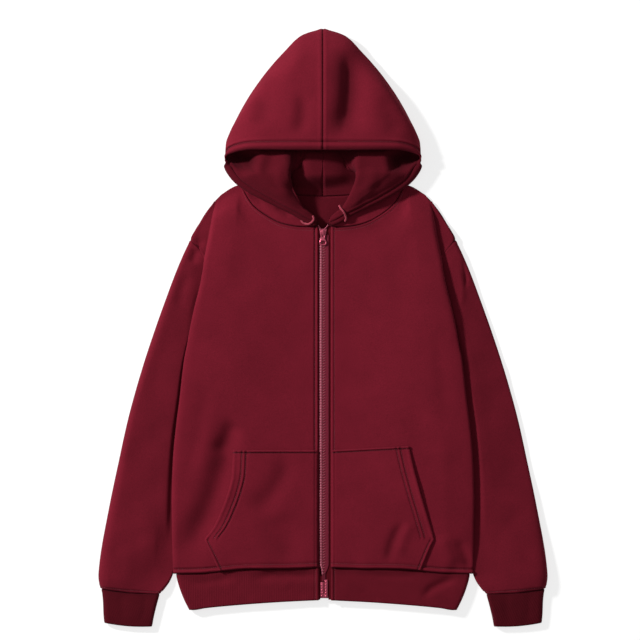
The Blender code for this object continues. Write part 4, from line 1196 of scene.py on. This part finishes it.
hood = {
    # columns are numbered by the lines above, and neck and backNeck are those on the neck seam
    "columns": (0, 1, 1.5, 2, 2.5, 3, 3.5, 4, 5, 6, 7, 7.25, 7.5, 7.75, 8, 8.25, 8.5, 8.75, 9, 10, 11, 12,
                12.5, 13, 13.5, 14),
    "rows": (0, 0.03, 0.06, 0.09, 0.12, 0.18, 0.25, 0.31, 0.37, 0.41, 0.45, 0.475, 0.5, 0.525, 0.55, 0.6,
             0.66, 0.73, 0.8, 0.86, 0.91, 0.925, 0.94, 0.955, 0.97, 0.985, 1),
    "neck": slice(11, 19), "neckSteps": slice(1, 9), "backNeck": slice(22, 26), "middle": 0.15, "step": 2.4,
    "casingEdge": ((-2.0, 0, 1.5), (1.0, 3.4, 2.2), (2.6, -6.5, 4.6)), "casingDark": ((0.75, 0, 1.8),),
    "crownEdge": ((-1.2, 0, 1.8), (0.5, 4.5, 2.5)), "crownDark": ((0.5, 0, 2.0),),
    "neckEdge": ((-0.7, 0, 1.4),), "neckDark": ((0.6, 0, 1.6),),
    # painted shade along the rim of the opening, outside and inside
    "flapWidth": 9, "flapDark": (0.6, 0.35),
    # how much fuller the crown's top is than straight between its rows, and each line's share of it
    "fuller": (5.5, 6.5, 0),
    "fullerLines": (0, 0, 0.2, 0.7, 1, 1, 1, 0.95, 0.85, 0.75, 0.7, 0.65, 0.6, 0.55, 0.5),
}
hoodFolds = (
    (44, 448, 36, 322, 5, 17, 32, 14.0),          # the deep one beside the crown's seam
    (4, 448, 4, 320, 0, 8, 12, -2.0),
    (-34, 380, -40, 318, 4, 13, 13, 4.2),
    (-98, 380, -106, 330, 3, 15, 15, 2.6),
    (-40, 450, -66, 400, 4, 16, 16, -2.4),
    (96, 372, 120, 316, 3, 15, 15, 2.0),
    (-120, 219, -98, 203, 1, 6, 6, 3.6),          # dents in the collar below the opening
    (-76, 196, -54, 183, 1, 5, 5, 3.0))
hoodInside = (
    (-6, 300, -4, 236, 0, 46, -20.0),             # the back bulges up beside its seam
    (-28, 298, -26, 240, 0, 14, -4.0),
    (26, 280, 24, 240, 3, 14, -2.0),
    (-84, 288, -98, 250, 4, 12, 3.0),
    (-72, 262, -56, 216, -3, 8, -2.5),
    (-60, 236, -30, 196, 3, 10, 2.5),
    (84, 262, 66, 214, 4, 9, -2.5),
    (98, 236, 60, 206, -3, 8, 2.5))


# Where the hood lies in the shade of its own folds, rows as for the folds with darkness for depth.
crownShade = ((40, 446, 32, 328, 4, 19, 17, 0.55), (-118, 221, -50, 184, 0, 9, 9, 0.35),
              (58, 186, 106, 210, 0, 9, 9, 0.35), (-34, 376, -40, 322, 4, 14, 14, 0.2),
              (-100, 374, -106, 330, 3, 16, 16, 0.2))
insideShade = ((-152, 278, -108, 272, 0, 14, 0.85), (106, 272, 152, 278, 0, 15, 0.95),
               (-58, 300, -44, 208, -3, 7, 0.5), (16, 288, 52, 282, 0, 12, 0.4),
               (-14, 226, 40, 222, 0, 6, 0.25))


def neckSeam(gap):
    shares = np.array(front["across"][hood["neckSteps"]])
    headOut = blend(gap, front["levels"]["fold"][-1] - front["foldStart"], shares)
    points = np.stack((headOut, topY(headOut), read(neck, "z", "out", headOut)), axis=1)
    ways = unit(np.gradient(points[:, :2], axis=0))
    points[:, 0] -= ways[:, 1] * 2 * seamGap
    points[:, 1] += ways[:, 0] * 2 * seamGap
    return points


def hoodPoints(side):
    lines = np.array([[line[axis] for axis in ("out", "y", "z")] for line in hoodLines.values()])
    middle = (lines[..., -2] + lines[..., -1]) / 2 + np.outer(hood["fullerLines"], hood["fuller"])
    lines = np.insert(lines, -1, middle, axis=2)
    levels = np.insert(hoodLevels, -1, (hoodLevels[-2] + 1) / 2)
    rows = []
    for level in hood["rows"]:
        section = smooth(levels, np.moveaxis(lines, 2, 0), level)
        columns = smooth(np.arange(len(hoodLines)), section, hood["columns"])
        if level == 0:
            columns[hood["neck"]] = neckSeam(zipEdge[side])
            backOut = columns[hood["backNeck"], 0]
            columns[hood["backNeck"], 1] = read(backNeck, "y", "out", backOut) + 3 * seamGap
        rows.append([(side * (out + hood["middle"]), y, z) for out, y, z in columns])
    return rows


def makeHood(side, name):
    woven = weave(hoodPoints(side), side, step=hood["step"], columns={0: 1.5, 1: 1.8}, rows={26: 1.5})
    y, z = woven["net"][..., 1], woven["net"][..., 2]
    shows = ease(-woven["normals"][..., 2] * 1.6) * ease((300 - y) / 8)
    casing = woven["start"] - np.maximum(woven["start"][:, [woven["columns"][1]]], 6.5)
    full = ease(woven["start"].max(1, keepdims=True) / 60)
    seams = (grooves(casing, hood["casingEdge"]) - 1.2 * ease(1 - woven["start"] / 2.0)) * full
    seams = seams * (1 - 2 * shows) * ease(np.abs(woven["normals"][..., 2]) * 2.2)
    seams = seams + grooves(woven["head"], hood["crownEdge"]) + grooves(woven["foot"], hood["neckEdge"])
    # Painted shade: along the opening's rim, in the patches of crownShade and insideShade and in the seams'
    # grooves.
    x, flap = woven["net"][..., 0], ease(1 - woven["start"] / hood["flapWidth"])
    outerDark, innerDark = hood["flapDark"]
    outer = foldDepth(x, y, crownShade) + outerDark * flap * full
    dark = blend(outer, foldDepth(x, y, insideShade) + innerDark * flap, shows)
    dark = dark + grooves(casing, hood["casingDark"]) * full + grooves(woven["head"], hood["crownDark"])
    woven["paintedShade"] = np.clip(dark + grooves(woven["foot"], hood["neckDark"]), 0, 1)
    dress(woven, hoodFolds, seams=seams, shows=shows, inside=hoodInside)
    cloth = makeCloth(name, woven, finishes["fleece"], "fleece")
    points, ups = lineAt(woven, casing, 0.0, keep=lambda x, y, z: abs(x) > 22)
    lies = ease(-ups[:, 2:] * 1.6)
    sew(name + "Stitches", [(points - ups * lies * wall, ups * (1 - 2 * lies))])
    return woven


makeHood(left, "hood_left")
panel = makeHood(right, "hood_right")
seamLine = np.concatenate((panel["net"][-1], panel["net"][-2::-1, -1])) * (0, 1, 1)
seamUps = np.concatenate((panel["normals"][-1], panel["normals"][-2::-1, -1])) * (0, 1, 1)
closeSeam("hoodSeam", seamLine, unit(seamUps))
neckOut = np.linspace(-110, 110, 45)
neckLine = np.stack((neckOut, read(backNeck, "y", "out", abs(neckOut)) + 0.5, neckOut * 0), 1)
closeSeam("backNeckSeam", neckLine, np.zeros_like(neckLine) + (0, 0, 1), sunk=-1.1)
print("hood made")


# Zip

chain = {
    "top": 149.7, "foot": -405.0, "pitch": 4.35,
    "bead": {"x": -3.2, "size": (2.7, 3.0, 1.5), "z": 9.5},
    "turn": {"x": 1.9, "size": (3.6, 1.0, 0.8), "z": 9.75, "slant": 24.0},
    # towards the box both run together beside the zip's pin
    "taper": table("y share", (-405, 0.42), (-399, 0.5), (-386, 1.0), (150, 1.0)), "taperTo": 1.2,
    "openEnds": ((-4.3, 161.5, -7.6, 167.0), (2.9, 161.5, 7.9, 167.4)), "openBeads": 4, "openSize": 1.35,
}
zipStrip = {
    # the woven strip that the coil is sewn on, over both tapes
    "levels": table("y low high", (-417, -1.6, 4.1), (-403, -1.6, 4.4), (-398, -3.0, 7.0), (-388, -5.2, 9.9),
                    (-200, -5.2, 9.9), (0, -5.2, 9.9), (152, -5.2, 9.9)),
    "across": ((0, 9.0), (0.05, 9.9), (0.5, 9.9), (0.93, 10.1), (0.98, 9.9), (1, 9.0)), "step": 2.2,
    "footDark": 0.5, "darkFrom": -399,
}


def addBead(shape, place, size, slant=0.0):
    turn = Matrix.Rotation(math.radians(slant), 4, "Z")
    matrix = Matrix.Translation(place) @ turn @ Matrix.Diagonal((*size, 1))
    bmesh.ops.create_uvsphere(shape, u_segments=12, v_segments=8, radius=1, matrix=matrix)


def finishCoil(name, shape, look, replaced=True):
    bmesh.ops.scale(shape, vec=(mm, mm, mm), verts=shape.verts)
    inOrder(shape)
    coil = finishMesh(name, shape, finishes[look])
    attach(coil, "garment")
    if replaced:
        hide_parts("zip_chain")


def makeTeeth():
    beads, turns = bmesh.new(), bmesh.new()
    bead, turn = chain["bead"], chain["turn"]
    for y in np.arange(chain["foot"] + 2, chain["top"] - 1, chain["pitch"]):
        share = float(read(chain["taper"], "share", "y", y))
        for row, shape in ((bead, beads), (turn, turns)):
            x = blend(chain["taperTo"], row["x"], share)
            wide, deep, high = row["size"]
            addBead(shape, (x, y, row["z"]), (wide * max(share, 0.6), deep, high), row.get("slant", 0.0))
    for x1, y1, x2, y2 in chain["openEnds"]:
        for k in range(chain["openBeads"]):
            share = k / (chain["openBeads"] - 1)
            place = (blend(x1, x2, share), blend(y1, y2, share), chain["bead"]["z"] + 1.2)
            addBead(beads, place, (chain["openSize"],) * 3)
    finishCoil("zipCoil", beads, "coil")
    finishCoil("zipTurns", turns, "turns", replaced=False)


def makeStrip():
    rows = []
    for y, low, high in zip(*(zipStrip["levels"][key] for key in ("y", "low", "high"))):
        rows.append([(blend(low, high, share), y, z) for share, z in zipStrip["across"]])
    woven = weave(rows, 1, step=zipStrip["step"])
    net = woven["net"]
    # Painted shade, darker towards the box where the strip goes down between the band's fronts.
    woven["paintedShade"] = zipStrip["footDark"] * ease((zipStrip["darkFrom"] - net[..., 1]) / 4)
    net[..., 2] += 0.1 * np.sin(net[..., 1] * 2 * math.pi / 4.4) * ease(woven["start"] / 2)
    makeCloth("zipStrip", woven, finishes["strip"], "zip_tape", 0.5, replaced=False)


def addBlock(shape, low, high):
    size = [b - a for a, b in zip(low, high)]
    place = Matrix.Translation([(a + b) / 2 for a, b in zip(low, high)])
    return bmesh.ops.create_cube(shape, size=1, matrix=place @ Matrix.Diagonal((*size, 1)))["verts"]


def roundEdges(shape, offset):
    bmesh.ops.bevel(shape, geom=shape.edges, offset=offset, offset_type="OFFSET", affect="EDGES",
                    segments=3, profile=0.5, material=-1)


def finishMetal(name, shape, replaced):
    bmesh.ops.scale(shape, vec=(mm, mm, mm), verts=shape.verts)
    bmesh.ops.recalc_face_normals(shape, faces=shape.faces)
    piece = finishMesh(name, shape, finishes["metal"])
    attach(piece, "garment")
    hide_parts(replaced)


slider = {
    "foot": 150.0, "top": 162.0, "half": 6.2, "narrow": 4.4, "upper": 9.2, "lower": 7.9, "plate": 1.5,
    "web": 2.2, "bridge": 1.4, "bridgeFoot": 151.6, "bridgeTop": 160.4, "bridgeRise": 4.0, "bevel": 0.45,
}


def makeSlider():
    shape = bmesh.new()
    for low in (slider["lower"] - slider["plate"], slider["upper"]):
        plate = addBlock(shape, (-slider["half"], slider["foot"], low),
                         (slider["half"], slider["top"], low + slider["plate"]))
        for vert in plate:
            if vert.co.y < slider["foot"] + 1:
                vert.co.x *= slider["narrow"] / slider["half"]
    web = slider["web"]
    addBlock(shape, (-web, slider["foot"] + 4, slider["lower"] - 0.4),
             (web, slider["top"], slider["upper"] + 0.4))
    half, base = slider["bridge"], slider["upper"] + slider["plate"]
    low, high, rise = slider["bridgeFoot"], slider["bridgeTop"], slider["bridgeRise"]
    for foot in (low, high - half):
        addBlock(shape, (-half, foot, base - 0.6), (half, foot + half, base + rise - 0.2))
    addBlock(shape, (-half, low, base + rise - 1.6), (half, high, base + rise))
    roundEdges(shape, slider["bevel"])
    finishMetal("zipSlider", shape, "zip_slider")


# two lumps side by side, the right one with the pin in it, and ridges across them
box = {
    "foot": -443.5, "low": 7.1, "high": 11.1, "bevel": 1.1,
    "lumps": ((-4.2, 1.7, -417.5, 10.4), (2.4, 8.2, -413.5, 11.0)),
    "ridge": (2.9, 1.2, 0.9), "ridgeStep": 4.6, "ridgeSlant": 34.0,
}


def makeBox():
    shape = bmesh.new()
    for low, high, top, rise in box["lumps"]:
        addBlock(shape, (low, box["foot"] + 0.8, box["low"]), (high, top, rise - 0.3))
    addBlock(shape, (box["lumps"][0][0] + 0.5, box["foot"], box["low"] + 0.2),
             (box["lumps"][1][1] - 0.3, box["foot"] + 7, box["high"] - 1.1))
    roundEdges(shape, box["bevel"])
    for low, high, top, rise in box["lumps"]:
        for y in np.arange(box["foot"] + 4, top - 2, box["ridgeStep"]):
            addBead(shape, ((low + high) / 2, y, rise - 0.25), box["ridge"], box["ridgeSlant"])
    inOrder(shape)
    finishMetal("zipBox", shape, "zip_box")


tab = {
    "outline": table("y half hole", (158.3, 4.0, 2.0), (156.6, 4.0, 2.0), (148.4, 3.7, 2.0),
                     (146.2, 2.9, 1.2), (144.0, 4.2, 1.5), (142.2, 5.6, 3.0), (139.3, 6.6, 4.0),
                     (136.6, 5.6, 3.0), (134.4, 3.6, 1.4)),
    "holes": (1, 5, 6), "high": 12.8, "thick": 1.6,
}


def makeTab():
    outline = tab["outline"]
    last = len(outline["y"]) - 1
    shape = bmesh.new()
    bmesh.ops.create_grid(shape, x_segments=3, y_segments=last, size=1)
    holes = []
    for face in shape.faces:
        centre = face.calc_center_median()
        row = int((1 - centre.y) / 2 * last)
        if abs(centre.x) < 0.3 and row in tab["holes"]:
            holes.append(face)
    for vert in shape.verts:
        row = round((1 - vert.co.y) / 2 * last)
        width = outline["half"][row] if abs(vert.co.x) > 0.5 else outline["hole"][row]
        vert.co = (math.copysign(width, vert.co.x) * mm, outline["y"][row] * mm, tab["high"] * mm)
    bmesh.ops.delete(shape, geom=holes, context="FACES")
    pull = finishMesh("pullTab", shape, finishes["metal"])
    thick = pull.modifiers.new("thickness", "SOLIDIFY")
    thick.thickness = tab["thick"] * mm
    thick.offset = -1
    rounded = pull.modifiers.new("rounding", "SUBSURF")
    rounded.levels = rounded.render_levels = 2
    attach(pull, "pull_tab")
    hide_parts("pull_tab")


makeTeeth()
makeStrip()
makeSlider()
makeBox()
makeTab()
for name in ("zip_tape_left", "zip_tape_right"):
    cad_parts[name].material_slots[0].material = finishes["tape"]
print("zip made")
